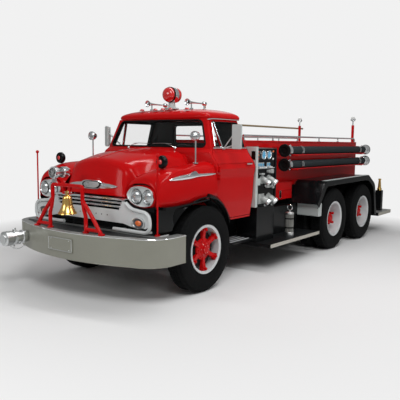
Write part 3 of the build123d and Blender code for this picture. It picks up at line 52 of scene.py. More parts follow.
bl_info = {
    "name": "Fire Engine Dressing",
    "version": (1, 0, 0),
    "blender": (4, 5, 0),
    "location": "View3D > Sidebar > Fire Engine",
    "description": "Builds the looks of a tandem-axle fire engine around its fixed frame",
    "category": "Object",
}

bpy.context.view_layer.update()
MM = 0.001
AXLE_Y = sum(corner[1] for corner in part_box("left_front_tyre")) / 2
SIDES = (("left", 1), ("right", -1))
X, Y, Z = Vector((1, 0, 0)), Vector((0, 1, 0)), Vector((0, 0, 1))
SQUARE = ((-1, -1), (1, -1), (1, 1), (-1, 1))
MIRROR_PAIR = (-1, 1)


def at(x, y, z):
    """Point in metres from millimetres measured at the front axle, centre line and ground."""
    return Vector((x * MM, y * MM + AXLE_Y, z * MM))


def mm(x, y, z):
    """Step in metres from millimetres."""
    return Vector((x * MM, y * MM, z * MM))


def circle(count):
    """Angles of evenly spaced points on a circle."""
    return [2 * pi * step / count for step in range(count)]


def share(value):
    """Value kept from 0 to 1."""
    return min(1.0, max(0.0, value))


def middle(node):
    """Middle of the box of a frame's node."""
    low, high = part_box(node)
    return (Vector(low) + Vector(high)) / 2


# ---------------------------------------------------------- node trees
class Value:
    """A node socket: arithmetic on it adds Math nodes to its tree."""

    def __init__(self, nodes, socket):
        self.nodes, self.socket = nodes, socket

    def maths(self, operation, *terms):
        return self.nodes.node("ShaderNodeMath", {"operation": operation}, dict(enumerate(terms)))

    def __add__(self, other):
        return self.maths("ADD", self, other)

    def __sub__(self, other):
        return self.maths("SUBTRACT", self, other)

    def __rsub__(self, other):
        return self.maths("SUBTRACT", other, self)

    def __mul__(self, other):
        return self.maths("MULTIPLY", self, other)

    def __rtruediv__(self, other):
        return self.maths("DIVIDE", other, self)

    def __pow__(self, other):
        return self.maths("POWER", self, other)

    def most(self, other):
        return self.maths("MAXIMUM", self, other)

    def sine(self):
        return self.maths("SINE", self)

    def size(self):
        return self.maths("ABSOLUTE", self)

    def clamped(self):
        return self.nodes.node("ShaderNodeClamp", {}, {"Value": self})

    __radd__, __rmul__ = __add__, __mul__


class Nodes:
    """A node tree that grows by one method."""

    def __init__(self, tree):
        self.tree = tree

    def node(self, kind, settings=None, sockets=None, output=0):
        """Adds a node: settings first, then the values or links of its sockets."""
        made = self.tree.nodes.new(kind)
        for key, value in (settings or {}).items():
            setattr(made, key, value)
        for key, value in (sockets or {}).items():
            self.feed(made.inputs[key], value)
        return Value(self, made.outputs[output]) if made.outputs else None

    def feed(self, socket, value):
        if isinstance(value, Value):
            self.tree.links.new(value.socket, socket)
        else:
            socket.default_value = value


class Finish(Nodes):
    """One material: a Principled shader, the nodes that feed it and the object coordinates."""

    def __init__(self, **constants):
        self.material = bpy.data.materials.new("finish")
        self.material.use_nodes = True
        super().__init__(self.material.node_tree)
        self.shader = next(n for n in self.tree.nodes if n.type == "BSDF_PRINCIPLED")
        for socket, value in constants.items():
            self.set(socket.replace("_", " "), value)
        self.place = self.node("ShaderNodeTexCoord", output="Object")
        self.x, self.y, self.z = [self.node("ShaderNodeSeparateXYZ", {}, {0: self.place}, axis)
                                  for axis in range(3)]

    def set(self, name, value):
        self.feed(self.shader.inputs[name], value)

    def stretched(self, scale):
        """Object coordinates scaled apart on each axis."""
        return self.node("ShaderNodeMapping", {}, {"Vector": self.place, "Scale": scale})

    def noise(self, scale, detail=3.0, rough=0.6, place=None):
        return self.node("ShaderNodeTexNoise", {}, {"Vector": place or self.place, "Scale": scale,
                                                    "Detail": detail, "Roughness": rough})

    def mix(self, amount, low, high):
        """Colour blend of two colours or sockets."""
        return self.node("ShaderNodeMix", {"data_type": "RGBA"}, {0: amount, 6: low, 7: high}, 2)

    def toned(self, amount, colour, low, high):
        """Blend between a darker and a lighter tone of a colour."""
        return self.mix(amount, shade(colour, low), shade(colour, high))

    def look(self, colour, rough, height, strength, depth):
        """Sets colour, roughness and relief (its depth in mm), and gives the material."""
        self.set("Base Color", colour)
        self.set("Roughness", rough)
        self.set("Normal", self.node("ShaderNodeBump", {}, {"Strength": strength, "Height": height,
                                                            "Distance": depth * MM}))
        return self.material


def shade(colour, factor):
    return (*[min(1.0, c * factor) for c in colour[:3]], 1.0)


def grey(level):
    return (level, level, level, 1.0)


def enamel(colour, rough, coat, peel, dust, gloss=1.4):
    """Sprayed paint: faint mottling, orange peel and a road film that fades upwards."""
    if isinstance(colour, str):
        colour = getattr(paint_colours(), colour)
    finish = Finish(Coat_Roughness=0.05, IOR=gloss)
    cloud, grain, speck = (finish.noise(2.3, 4.0), finish.noise(160.0, 2.0, 0.5),
                           finish.noise(38.0, 5.0, 0.65))
    film = ((0.95 - finish.z) * 0.6 * (speck - 0.25) * dust).clamped()
    finish.set("Coat Weight", (1.0 - film * 3.0).clamped() * coat)
    paint = finish.mix(film, finish.toned(cloud, colour, 0.9, 1.1), (0.16, 0.14, 0.12, 1.0))
    return finish.look(paint, rough + film * 0.5 + (cloud - 0.5) * 0.06, grain, peel * 0.12, 0.6)


def polished(colour, rough=0.08, smear=0.10):
    """Bright metal with faint handling smears."""
    finish = Finish(Metallic=1.0)
    cloud, fine = finish.noise(9.0, 5.0), finish.noise(90.0)
    return finish.look(finish.toned(cloud, colour, 0.93, 1.05),
                       rough + cloud * smear + fine * smear * 0.3, fine, 0.03, 0.5)


def brushed(colour):
    """Metal with fine lines drawn along its length."""
    finish = Finish(Metallic=1.0)
    lines = finish.noise(3.0, 4.0, place=finish.stretched((6.0, 6.0, 320.0)))
    tone = finish.toned(lines, colour, 0.82, 1.1)
    return finish.look(tone, 0.3 + lines * 0.18, lines, 0.12, 0.4)


def tread_plate(colour):
    """Raised lozenges in two alternating directions on a worn plate."""
    finish = Finish(Metallic=0.85)
    pitch = 2 * pi / 0.034
    first, second = (finish.x + finish.y) * pitch, (finish.x - finish.y) * pitch
    lozenge = (first.sine() * second.sine()).size() ** 1.6
    wear = finish.noise(14.0, 5.0)
    return finish.look(finish.toned(wear, colour, 0.75, 1.15), 0.38 + wear * 0.2 - lozenge * 0.12,
                       lozenge, 0.7, 2.5)


def rubber(colour, rough=0.72, fine=60.0):
    """Moulded rubber: mottled, scuffed and dusty."""
    finish = Finish(IOR=1.2)
    cloud, pore = finish.noise(7.0, 5.0), finish.noise(fine, 4.0, 0.7)
    dusty = ((pore - 0.42) * 1.1).clamped()
    tone = finish.mix(dusty, finish.toned(cloud, colour, 0.75, 1.35), shade(colour, 3.0))
    return finish.look(tone, rough + cloud * 0.18 - pore * 0.1, pore, 0.25, 1.0)


def lens(colour, deep):
    """Fluted coloured glass over a reflector, with painted light: a faint glow and bright flute
    stripes stand for the reflector's light.
    """
    # Faint emission gives the glass a painted glow.
    finish = Finish(Coat_Weight=1.0, Coat_Roughness=0.03, Emission_Strength=0.12)
    flutes, glow = (finish.x * 520.0).sine() * 0.5 + 0.5, finish.noise(26.0, 2.0, 0.5)
    finish.set("Emission Color", finish.mix(glow, deep, colour))
    # The flutes stripe the colour from dark to bright: painted light from the fluting.
    return finish.look(finish.mix(flutes * 0.6 + glow * 0.4, deep, colour), 0.12 + glow * 0.1,
                       flutes, 0.35, 1.2)


def clear_glass(tint, alpha):
    """Window glass: thin, faintly tinted and see-through."""
    finish = Finish(Base_Color=(*tint, 1.0))
    film = finish.noise(3.0, 4.0)
    finish.set("Roughness", 0.02 + film * 0.05)
    finish.set("Alpha", alpha + film * 0.01)
    finish.material.surface_render_method = "BLENDED"
    return finish.material


def lamp_glass(dark, bright):
    """Headlamp face: pressed prisms over a silvered bowl, their glints painted as a grid of bright
    cells.
    """
    finish = Finish(Metallic=0.75, Coat_Weight=1.0, Coat_Roughness=0.02)
    ribs, rows = ((place * pitch).sine() * 0.5 + 0.5 for place, pitch in (
        (finish.x, 900.0), (finish.z, 330.0)))
    # Bright cells of the prism grid are painted glints.
    return finish.look(finish.mix(ribs * rows, dark, bright), 0.1 + rows * 0.14,
                       ribs * 0.6 + rows * 0.4, 0.5, 1.2)


def vinyl(colour):
    """Grained seat covering."""
    finish = Finish()
    cells = finish.node("ShaderNodeTexVoronoi", {"feature": "DISTANCE_TO_EDGE"},
                        {"Vector": finish.place, "Scale": 260.0})
    crease, cloud = (cells * 6.0).clamped(), finish.noise(6.0, 4.0)
    return finish.look(finish.toned(cloud, colour, 0.8, 1.25), 0.5 - crease * 0.12 + cloud * 0.1,
                       crease, 0.3, 0.8)


def timber(colour):
    """Varnished pole with grain along its length."""
    finish = Finish(Coat_Weight=0.5, Coat_Roughness=0.12)
    grain = finish.noise(2.0, 6.0, 0.65, finish.stretched((60.0, 1.6, 60.0)))
    tone = finish.toned(grain, colour, 0.55, 1.3)
    return finish.look(tone, 0.35 + grain * 0.2, grain, 0.15, 0.6)


def casting(colour, rough=0.6, gloss=0.5, metal=0.25):
    """Sand-cast or forged metal under a thin dull coat, oily in places."""
    finish = Finish(Metallic=metal, Specular_IOR_Level=gloss)
    oil, sand = finish.noise(4.0, 5.0, 0.65), finish.noise(130.0)
    return finish.look(finish.toned(oil, colour, 0.6, 1.4), rough + sand * 0.15 - oil * 0.22,
                       sand, 0.35, 1.0)


def gauge_face(colour):
    """Enamelled dial."""
    finish = Finish(Coat_Weight=1.0, Coat_Roughness=0.02)
    cloud = finish.noise(40.0, 2.0, 0.5)
    tone = finish.toned(cloud, colour, 0.85, 1.15)
    return finish.look(tone, 0.25 + cloud * 0.1, cloud, 0.02, 0.2)


FINISHES = {    # name: its maker and what it takes; a word for a colour is a user's setting
    "red enamel": (enamel, "red", 0.16, 0.1, 0.2, 0.1, 1.17),
    "black enamel": (enamel, (0.004, 0.0045, 0.005), 0.2, 0.12, 0.25, 0.04, 1.22),
    "bumper grey": (enamel, "bumper", 0.36, 0.15, 0.2, 0.2),
    "panel grey": (enamel, (0.5, 0.54, 0.53), 0.4, 0.1, 0.2, 0.1),
    "wheel silver": (enamel, (0.62, 0.64, 0.65), 0.3, 0.4, 0.2, 0.25),
    "grille white": (enamel, (0.66, 0.69, 0.69), 0.25, 0.5, 0.15, 0.1),
    # light paint that stands for the lit sides of board edges
    "board edge": (enamel, (0.46, 0.44, 0.38), 0.45, 0.1, 0.2, 0.3),
    "wheel black": (enamel, (0.012, 0.012, 0.013), 0.3, 0.3, 0.1, 0.0),
    "chassis black": (casting, (0.006, 0.006, 0.0064), 0.6, 0.15, 0.0),
    "dull steel": (casting, (0.2, 0.2, 0.185), 0.4),
    "cast alloy": (casting, (0.42, 0.44, 0.43), 0.5),
    "engine grey": (casting, (0.09, 0.1, 0.11), 0.62),
    "chrome": (polished, (0.83, 0.85, 0.86)),
    "soft chrome": (polished, (0.72, 0.74, 0.74), 0.2, 0.14),
    "brass": (polished, (0.86, 0.56, 0.17), 0.1, 0.16),
    "mirror glass": (polished, (0.9, 0.92, 0.93), 0.02, 0.02),
    "aluminium": (brushed, (0.62, 0.63, 0.62)),
    "tread plate": (tread_plate, (0.46, 0.47, 0.46)),
    "dark tread": (tread_plate, (0.025, 0.028, 0.03)),
    "tyre": (rubber, (0.004, 0.0042, 0.0044)),
    "hose rubber": (rubber, (0.02, 0.024, 0.026), 0.5, 90.0),
    "black rubber": (rubber, (0.006, 0.006, 0.006), 0.6, 200.0),
    "red lens": (lens, (0.78, 0.02, 0.02, 1.0), (0.28, 0.0, 0.0, 1.0)),
    "amber lens": (lens, (0.95, 0.22, 0.03, 1.0), (0.45, 0.05, 0.01, 1.0)),
    "lamp glass": (lamp_glass, (0.42, 0.45, 0.46, 1.0), (0.9, 0.92, 0.92, 1.0)),
    "window": (clear_glass, (0.1, 0.12, 0.12), 0.025),
    "vinyl": (vinyl, (0.014, 0.014, 0.015)),
    "cab lining": (vinyl, (0.012, 0.0115, 0.011)),
    "timber": (timber, (0.32, 0.22, 0.1)),
    "dial blue": (gauge_face, (0.06, 0.42, 0.72)),
    "dial white": (gauge_face, (0.8, 0.8, 0.78)),
}
_made = {}


def finish_named(name):
    """The material of a finish, made the first time it is asked for."""
    if name not in _made:
        maker, *values = FINISHES[name]
        _made[name] = maker(*values)
        _made[name].name = "engine_" + name.replace(" ", "_")
    return _made[name]


# ---------------------------------------------------------- mesh building
class Form:
    """One mesh under construction from closed parts, each with its own finish."""

    def __init__(self, name):
        self.name = name
        self.points, self.faces, self.kinds, self.finishes = [], [], [], []

    def kind(self, finish):
        if finish not in self.finishes:
            self.finishes.append(finish)
        return self.finishes.index(finish)

    def add(self, points, faces, finish):
        base = len(self.points)
        self.points += [tuple(p) for p in points]
        self.faces += [[base + i for i in face] for face in faces]
        self.kinds += [self.kind(finish)] * len(faces)
        return self

    def hull(self, rings, finish, closed=False):
        """Solid through rings of points, or single points, capped at its ends unless it closes."""
        numbers, count = [], 0
        for ring in rings:
            numbers.append(list(range(count, count + len(ring))))
            count += len(ring)
        faces = [] if closed else [n for n in (numbers[0], numbers[-1]) if len(n) > 2]
        for one, two in zip(numbers, numbers[1:] + numbers[:1] * closed):
            wide = max(len(one), len(two))
            for i in range(wide) if wide > 1 else ():
                j = (i + 1) % wide
                quad = (one[i % len(one)], one[j % len(one)], two[j % len(two)], two[i % len(two)])
                faces.append(list(dict.fromkeys(quad)))
        return self.add([p for ring in rings for p in ring], faces, finish)

    def block(self, low, high, finish, edge=2):
        """Box with chamfered edges between two corners."""
        ends = [Vector(list(map(pick, low, high))) for pick in (min, max)]
        edge = min(edge * MM, *(d * 0.45 for d in ends[1] - ends[0]))
        points = [[ends[c][k] + (k != axis) * edge * (1 - 2 * c) for k, c in enumerate(corner)]
                  for corner in product((0, 1), repeat=3) for axis in range(3)]
        faces = [[3 * i, 3 * i + 1, 3 * i + 2] for i in range(8)]
        for axis in range(3):
            b, c = (axis + 1) % 3, (axis + 2) % 3

            def number(end, u, v, side):
                place = {axis: end, b: u, c: v}
                return 3 * (4 * place[0] + 2 * place[1] + place[2]) + side
            loop = ((0, 0), (1, 0), (1, 1), (0, 1))
            faces += [[number(end, u, v, axis) for u, v in loop] for end in (0, 1)]
            faces += [[number(end, u, v, side) for end, side in ((0, b), (0, c), (1, c), (1, b))]
                      for u, v in loop]
        return self.add(points, faces, finish)

    def lathe(self, profile, origin, axis, finish, sides=32, closed=False):
        """Solid of revolution from (radius, distance along the axis) pairs."""
        axis = Vector(axis).normalized()
        across = (Z.cross(axis) if abs(axis.z) < 0.9 else axis.orthogonal()).normalized()
        third, rings = axis.cross(across), []
        for radius, along in profile:
            centre = Vector(origin) + axis * (along * MM)
            rings.append([centre + (across * cos(a) + third * sin(a)) * (radius * MM)
                          for a in circle(sides)] if radius or closed else [centre])
        return self.hull(rings, finish, closed)

    def turned(self, origin, axis, *parts):
        """Lathes on one axis: each a finish, its sides (below 0: closed profile), its profile."""
        for finish, sides, profile in parts:
            self.lathe(profile, origin, axis, finish, abs(sides), sides < 0)
        return self

    def rod(self, start, end, radius, finish, sides=16):
        """Round bar with softly broken ends; the end radius may differ."""
        first, last = radius if isinstance(radius, tuple) else (radius, radius)
        axis, cut = Vector(end) - Vector(start), 0.15 * min(first, last)
        length = axis.length / MM
        profile = [(first - cut, 0), (first, cut), (last, length - cut), (last - cut, length)]
        return self.lathe(profile, start, axis, finish, sides)

    def tube(self, path, radius, finish, sides=12, closed=False):
        """Round bar along a path of points."""
        path, rings, side = [Vector(p) for p in path], [], None
        for index, point in enumerate(path):
            before = path[index - 1] if index or closed else point
            after = path[(index + 1) % len(path)] if index < len(path) - 1 or closed else point
            along = (after - before).normalized()
            side = side or along.orthogonal().normalized()
            side = (side - along * side.dot(along)).normalized()
            third = along.cross(side)
            rings.append([point + (side * cos(a) + third * sin(a)) * (radius * MM)
                          for a in circle(sides)])
        return self.hull(rings, finish, closed)

    def prism(self, outline, push, finish):
        """Flat outline of points pushed along a vector."""
        return self.hull([outline, [p + push for p in outline]], finish)

    def skin(self, rows, finish, wall):
        """Closed shell of a sheet through rows of points; wall moves a point to its inner face."""
        high, wide = len(rows), len(rows[0])
        outer, base, faces = [p for row in rows for p in row], high * wide, []
        for i, j in product(range(high - 1), range(wide - 1)):
            a, c = i * wide + j, (i + 1) * wide + j
            faces += [[a, a + 1, c + 1, c], [base + c, base + c + 1, base + a + 1, base + a]]
        border = list(range(wide)) + [i * wide + wide - 1 for i in range(1, high)]
        border += [(high - 1) * wide + j for j in range(wide - 2, -1, -1)]
        border += [i * wide for i in range(high - 2, 0, -1)]
        faces += [[one, base + one, base + two, two]
                  for one, two in zip(border, border[1:] + border[:1])]
        return self.add(outer + [wall(p) for p in outer], faces, finish)

    def absorb(self, mesh, place, finish=None):
        """Takes in a finished mesh, moved by a matrix, with its own or a given finish."""
        names = [next(name for name, made in _made.items() if made == material)
                 for material in mesh.materials]
        base = len(self.points)
        self.points += [tuple(place @ v.co) for v in mesh.vertices]
        for face in mesh.polygons:
            self.faces.append([base + i for i in face.vertices])
            self.kinds.append(self.kind(finish or names[face.material_index]))
        return self

    def around(self, unit, count, origin, axis, finish, pitch=0.0, up=Z):
        """Takes in a form repeated round an axis, at a pitch radius of its own or a given one."""
        return self.absorb(repeated(unit, finish, count, pitch * MM), facing(origin, axis, up))

    def bolts(self, count, pitch, across, height, origin, axis, finish, up=Z):
        """Ring of hexagon heads with domed tops."""
        profile = [(across / 2, 0), (across / 2, height * 0.8), (across * 0.4, height),
                   (0, height * 1.05)]
        head = Form("hex_bolt").lathe(profile, (0, 0, 0), Z, "chrome", 6)
        return self.around(head, count, origin, axis, finish, pitch, up)

    def lugs(self, count, low, high, origin, axis, finish, edge=2):
        """Ring of small blocks, each given by its corners in mm from the axis."""
        lug = Form("lug").block(mm(*low), mm(*high), finish, edge)
        return self.around(lug, count, origin, axis, finish)

    def rivet(self, radius, place, finish):
        return self.absorb(rivet(radius).mesh(), facing(place, -Y), finish)

    def mesh(self):
        data = bpy.data.meshes.new(self.name)
        data.from_pydata(self.points, [], self.faces)
        for finish in self.finishes:
            data.materials.append(finish_named(finish))
        for face, kind in zip(data.polygons, self.kinds):
            face.material_index = kind
        work = bmesh.new()
        work.from_mesh(data)
        bmesh.ops.recalc_face_normals(work, faces=work.faces)
        work.to_mesh(data)
        work.free()
        return data

    def made(self, slot="chrome", replaces=(), crease=35, body="chassis"):
        """Puts the mesh in the scene as a piece that rides on a body."""
        data = self.mesh()
        soft_shaded(data, crease)
        return declared(placed(self.name, data), body, replaces)


def rivet(radius):
    return Form("rivet").lathe([(radius, 0), (radius * 0.8, radius * 0.45), (0, radius * 0.65)],
                               (0, 0, 0), Z, "chrome", 8)


def placed(name, data):
    """New object of the scene at the origin."""
    piece = bpy.data.objects.new(name, data)
    bpy.context.scene.collection.objects.link(piece)
    return piece


def soft_shaded(data, crease):
    data.shade_smooth()
    data.set_sharp_from_angle(angle=radians(crease))


def declared(piece, body, replaces):
    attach(piece, body)
    if replaces:
        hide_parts(*replaces)
    return piece


def rounded(points, radius, steps=5, closed=False):
    """Path with each inner corner turned by an arc-like curve of a given reach."""
    points = [Vector(p) for p in points]
    count = len(points)
    path = [] if closed else [points[0]]
    for index in range(count) if closed else range(1, count - 1):
        before, here, after = points[index - 1], points[index], points[(index + 1) % count]
        reach = min(radius, (before - here).length / 2, (after - here).length / 2)
        start = here + (before - here).normalized() * reach
        end = here + (after - here).normalized() * reach
        for t in (step / steps for step in range(steps + 1)):
            path.append(start * (1 - t) ** 2 + here * 2 * t * (1 - t) + end * t * t)
    return path if closed else path + [points[-1]]


def oblong(centre, across, along, reach, steps):
    """Closed path round a rounded rectangle, given by its half sides."""
    return rounded([centre + across * a + along * b for a, b in SQUARE], reach, steps, True)


def smoothed(rows, steps, closed=False):
    """Rows of numbers run through by a smooth curve, with steps between each pair."""
    rows = [Vector(r) for r in rows]
    ends = [rows[0] * 2 - rows[1], *rows, rows[-1] * 2 - rows[-2]]
    if closed:
        ends = [rows[-1], *rows, *rows[:2]]
    made = [b + (c - a) * 0.5 * t + (a - b * 2.5 + c * 2 - d * 0.5) * t * t
            + ((b - c) * 1.5 + (d - a) * 0.5) * t ** 3
            for a, b, c, d in zip(ends, ends[1:], ends[2:], ends[3:])
            for t in (step / steps for step in range(steps))]
    return made if closed else [*made, rows[-1]]


# ---------------------------------------------------------- repeats by Geometry Nodes
def repeat_tree(name, ring):
    """Node group that repeats its input round a circle or along a row."""
    group = bpy.data.node_groups.new(name, "GeometryNodeTree")
    for label, kind in (("Geometry", "Geometry"), ("Count", "Int"), ("Finish", "Material"),
                        ("Spacing", "Float" if ring else "Vector")):
        group.interface.new_socket(label, in_out="INPUT", socket_type=f"NodeSocket{kind}")
    group.interface.new_socket("Geometry", in_out="OUTPUT", socket_type="NodeSocketGeometry")
    tree = Nodes(group)
    shape, count, finish, spacing = (tree.node("NodeGroupInput", output=label) for label in (
        "Geometry", "Count", "Finish", "Spacing"))
    if ring:
        turn = (2 * pi / count) * tree.node("GeometryNodeInputIndex")
        places = tree.node("GeometryNodeMeshCircle", {}, {"Vertices": count, "Radius": spacing})
        spots = {"Points": places, "Rotation": tree.node("ShaderNodeCombineXYZ", {}, {2: turn})}
    else:
        spots = {"Points": tree.node("GeometryNodeMeshLine", {"mode": "OFFSET"},
                                     {"Count": count, "Offset": spacing})}
    copies = tree.node("GeometryNodeInstanceOnPoints", {}, {"Instance": shape, **spots})
    real = tree.node("GeometryNodeRealizeInstances", {}, {0: copies})
    coat = tree.node("GeometryNodeSetMaterial", {}, {"Geometry": real, "Material": finish})
    tree.node("NodeGroupOutput", {}, {0: coat})
    return group


def evaluated(piece):
    """Mesh of an object with its modifiers put in."""
    graph = bpy.context.evaluated_depsgraph_get()
    return bpy.data.meshes.new_from_object(piece.evaluated_get(graph))


def repeated(form, finish, count, spacing):
    """Mesh of a form repeated round a circle (a radius) or along a row (a step vector)."""
    ring = isinstance(spacing, float)
    name = "repeat_round" if ring else "repeat_row"
    holder = placed(form.name, form.mesh())
    modifier = holder.modifiers.new("repeat", "NODES")
    modifier.node_group = bpy.data.node_groups.get(name) or repeat_tree(name, ring)
    values = {"Count": count, "Spacing": spacing, "Finish": finish_named(finish)}
    for item in modifier.node_group.interface.items_tree:
        if item.in_out == "INPUT" and item.name in values:
            modifier[item.identifier] = values[item.name]
    result = evaluated(holder)
    bpy.data.objects.remove(holder)
    return result


def facing(origin, axis, up=Z):
    """Matrix that stands a form made along +Z on a point and an axis."""
    z = Vector(axis).normalized()
    x = Vector(up).cross(z)
    x = x.normalized() if x.length > 1e-6 else z.orthogonal().normalized()
    return Matrix.Translation(Vector(origin)) @ Matrix((x, z.cross(x), z)).transposed().to_4x4()


# ---------------------------------------------------------- pieces taken over from the frame
def parted_copy(node, bands=()):
    """Merged copy of a node's mesh, cut at the bands' heights, and its loose parts with boxes."""
    work = bmesh.new()
    work.from_mesh(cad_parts[node].data)
    bmesh.ops.remove_doubles(work, verts=work.verts, dist=2e-6)
    bmesh.ops.dissolve_limit(work, angle_limit=radians(0.6), verts=work.verts, edges=work.edges)
    for height in bands:
        bmesh.ops.bisect_plane(work, geom=[*work.verts, *work.edges, *work.faces], dist=1e-6,
                               plane_co=at(0, 0, height), plane_no=Z)
    seen, parts = set(), []
    for start in work.faces:
        if start in seen:
            continue
        seen.add(start)
        part = [start]
        for face in part:                           # the list grows by each face's neighbours
            for other in (f for edge in face.edges for f in edge.link_faces):
                if other not in seen:
                    seen.add(other)
                    part.append(other)
        corners = [v.co for face in part for v in face.verts]
        parts.append((part, *[Vector([pick(c[k] for c in corners) for k in range(3)])
                              for pick in (min, max)]))
    return work, parts


def part_boxes(node):
    """Lowest and highest corners of each loose part of a node."""
    work, parts = parted_copy(node)
    work.free()
    return [box for part, *box in parts]


def dressed(node, finish, soften=1.5, crease=32, bands=(), body="chassis"):
    """Stands in for a node with softened edges.

    The finish is a name or a rule that takes a face's middle and normal and its part's box,
    and gives a name, or None for what goes.
    """
    work, parts = parted_copy(node, bands)
    names, spare = [], []
    for part, low, high in parts:
        for face in part:
            name = finish if isinstance(finish, str) else finish(
                face.calc_center_median(), face.normal, low, high)
            if name is None:
                spare.append(face)
                continue
            if name not in names:
                names.append(name)
            face.material_index = names.index(name)
    bmesh.ops.delete(work, geom=spare, context="FACES")
    piece = placed(f"{node}_finish", bpy.data.meshes.new(f"{node}_finish"))
    work.to_mesh(piece.data)
    work.free()
    for name in names:
        piece.data.materials.append(finish_named(name))
    if soften:
        bevel = piece.modifiers.new("soften", "BEVEL")
        bevel.width, bevel.segments, bevel.limit_method = soften * MM, 2, "ANGLE"
        bevel.angle_limit, bevel.use_clamp_overlap = radians(28), True
        piece.data = evaluated(piece)
        piece.modifiers.clear()
    soft_shaded(piece.data, crease)
    piece.modifiers.new("even", "WEIGHTED_NORMAL").keep_sharp = True
    piece.data = evaluated(piece)
    piece.modifiers.clear()
    return declared(piece, body, (node,))


def recoat(node, finish):
    """Gives a node whose shape is right its finish."""
    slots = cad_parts[node].data.materials
    slots.clear()
    slots.append(finish_named(finish))


# ---------------------------------------------------------- settings a user would change
def colour_setting(name, description, default):
    return bpy.props.FloatVectorProperty(name=name, description=description, default=default,
                                         size=3, min=0.0, max=1.0, subtype="COLOR")


class EnginePaint(bpy.types.PropertyGroup):
    """Colours of the sprayed surfaces."""
    red: colour_setting("Body red", "Enamel of the cab and body", (0.52, 0.004, 0.005))
    bumper: colour_setting("Bumper grey", "Satin paint of the bumper", (0.27, 0.27, 0.225))
    backdrop: bpy.props.FloatProperty(name="Backdrop", description="Brightness of floor and sky",
                                      default=0.88, min=0.0, max=1.0, subtype="FACTOR")


class EngineSizes(bpy.types.PropertyGroup):
    """Sizes of the fittings that repeat."""
    tread_depth: bpy.props.FloatProperty(
        name="Tread depth", description="Depth of the tyre grooves",
        default=0.013, min=0.002, max=0.03, unit="LENGTH")
    tread_pitches: bpy.props.IntProperty(
        name="Tread pitches", description="Tread blocks round a tyre", default=46, min=20, max=80)
    hose_ribs: bpy.props.IntProperty(
        name="Hose ribs", description="Ribs along a suction hose", default=104, min=20, max=200)


def paint_colours():
    return bpy.context.scene.engine_paint


def sizes():
    return bpy.context.scene.engine_sizes


# ---------------------------------------------------------- stage
CAMERA_PLACE = (4.653, -7.239, 1.722)
CAMERA_AZIMUTH, CAMERA_DOWN, CAMERA_ROLL = radians(37.353), radians(6.178), radians(0.65)
CAMERA_LENS = 48.15
STAGE_RADIUS = 40.0
SHADOW_REACH = (3.7, 5.6)       # from the middle: floor shadow kept within, blended out beyond
LAMPS = [                       # name, size across and along, power, place, aimed at
    ("key", (4.0, 4.0), 400.0, (5.5, -7.0, 8.0), (0.0, -1.0, 1.0)),
    ("strip", (0.45, 9.0), 215.0, (2.2, -0.5, 6.0), (0.6, -0.5, 1.0)),
    ("side", (6.0, 5.0), 14.0, (9.0, 3.0, 4.0), (0.0, 1.0, 1.2)),
    ("nose", (3.0, 2.0), 100.0, (-1.5, -9.5, 4.0), (0.0, -2.5, 1.0)),
    ("back", (5.0, 5.0), 60.0, (-6.0, 8.0, 7.0), (0.0, 0.0, 1.0)),
]
SKY_LIGHT = 0.17                # strength of the even world light
GLOSSY_SHARE = 0.32             # how bright the backdrop is in reflections


def camera():
    a, e, r = CAMERA_AZIMUTH, CAMERA_DOWN, CAMERA_ROLL
    back = Vector((sin(a) * cos(e), -cos(a) * cos(e), sin(e)))
    right = Vector((cos(a), sin(a), 0))
    up = back.cross(right)
    turned = (right * cos(r) + up * sin(r), up * cos(r) - right * sin(r), back)
    data = bpy.data.cameras.new("view")
    data.lens, data.sensor_width, data.clip_end = CAMERA_LENS, 36.0, 200.0
    eye = placed("view", data)
    eye.matrix_world = Matrix.Translation(CAMERA_PLACE) @ Matrix(turned).transposed().to_4x4()
    bpy.context.scene.camera = eye


def floor_finish(pale):
    """Pale floor that keeps the shadow near the engine and melts into the backdrop."""
    finish = Finish(Roughness=0.85)
    finish.material.name = "floor"
    near, end = SHADOW_REACH
    far = (finish.x * finish.x + finish.y * finish.y) ** 0.5
    fade = ((far - near) * (1 / (end - near))).clamped()
    cloud = finish.noise(0.8, 3.0, 0.5) * 0.1
    finish.set("Base Color", finish.mix(cloud, pale, shade(pale, 0.97)))
    seen = finish.node("ShaderNodeLightPath", output="Is Camera Ray")
    out = next(n for n in finish.tree.nodes if n.type == "OUTPUT_MATERIAL")
    finish.feed(out.inputs["Surface"], finish.node("ShaderNodeMixShader", {}, {
        0: (fade * seen).clamped(), 1: Value(finish, finish.shader.outputs[0]),
        2: finish.node("ShaderNodeEmission", {}, {"Color": pale})}))
    return finish.material


def sky(pale):
    """Even world light; camera, mirror and glass rays see the pale backdrop."""
    world = bpy.data.worlds.new("sky")
    world.use_nodes = True
    world.node_tree.nodes.clear()
    tree = Nodes(world.node_tree)
    seen, mirrored, through = (tree.node("ShaderNodeLightPath", output=f"Is {kind} Ray")
                               for kind in ("Camera", "Glossy", "Transmission"))
    even = tree.node("ShaderNodeBackground", {}, {"Color": grey(1.0), "Strength": SKY_LIGHT})
    backdrop = tree.node("ShaderNodeBackground", {}, {
        "Color": pale, "Strength": mirrored * (GLOSSY_SHARE - 1) + 1.0})
    tree.node("ShaderNodeOutputWorld", {}, {"Surface": tree.node("ShaderNodeMixShader", {}, {
        0: seen.most(mirrored).most(through), 1: even, 2: backdrop})})
    bpy.context.scene.world = world


def lamp(name, size, power, place, target):
    data = bpy.data.lights.new(name, "AREA")
    data.shape, data.energy = "RECTANGLE", power
    data.size, data.size_y = size
    aim = (Vector(target) - Vector(place)).to_track_quat("-Z", "Y")
    placed(name, data).matrix_world = Matrix.Translation(place) @ aim.to_matrix().to_4x4()


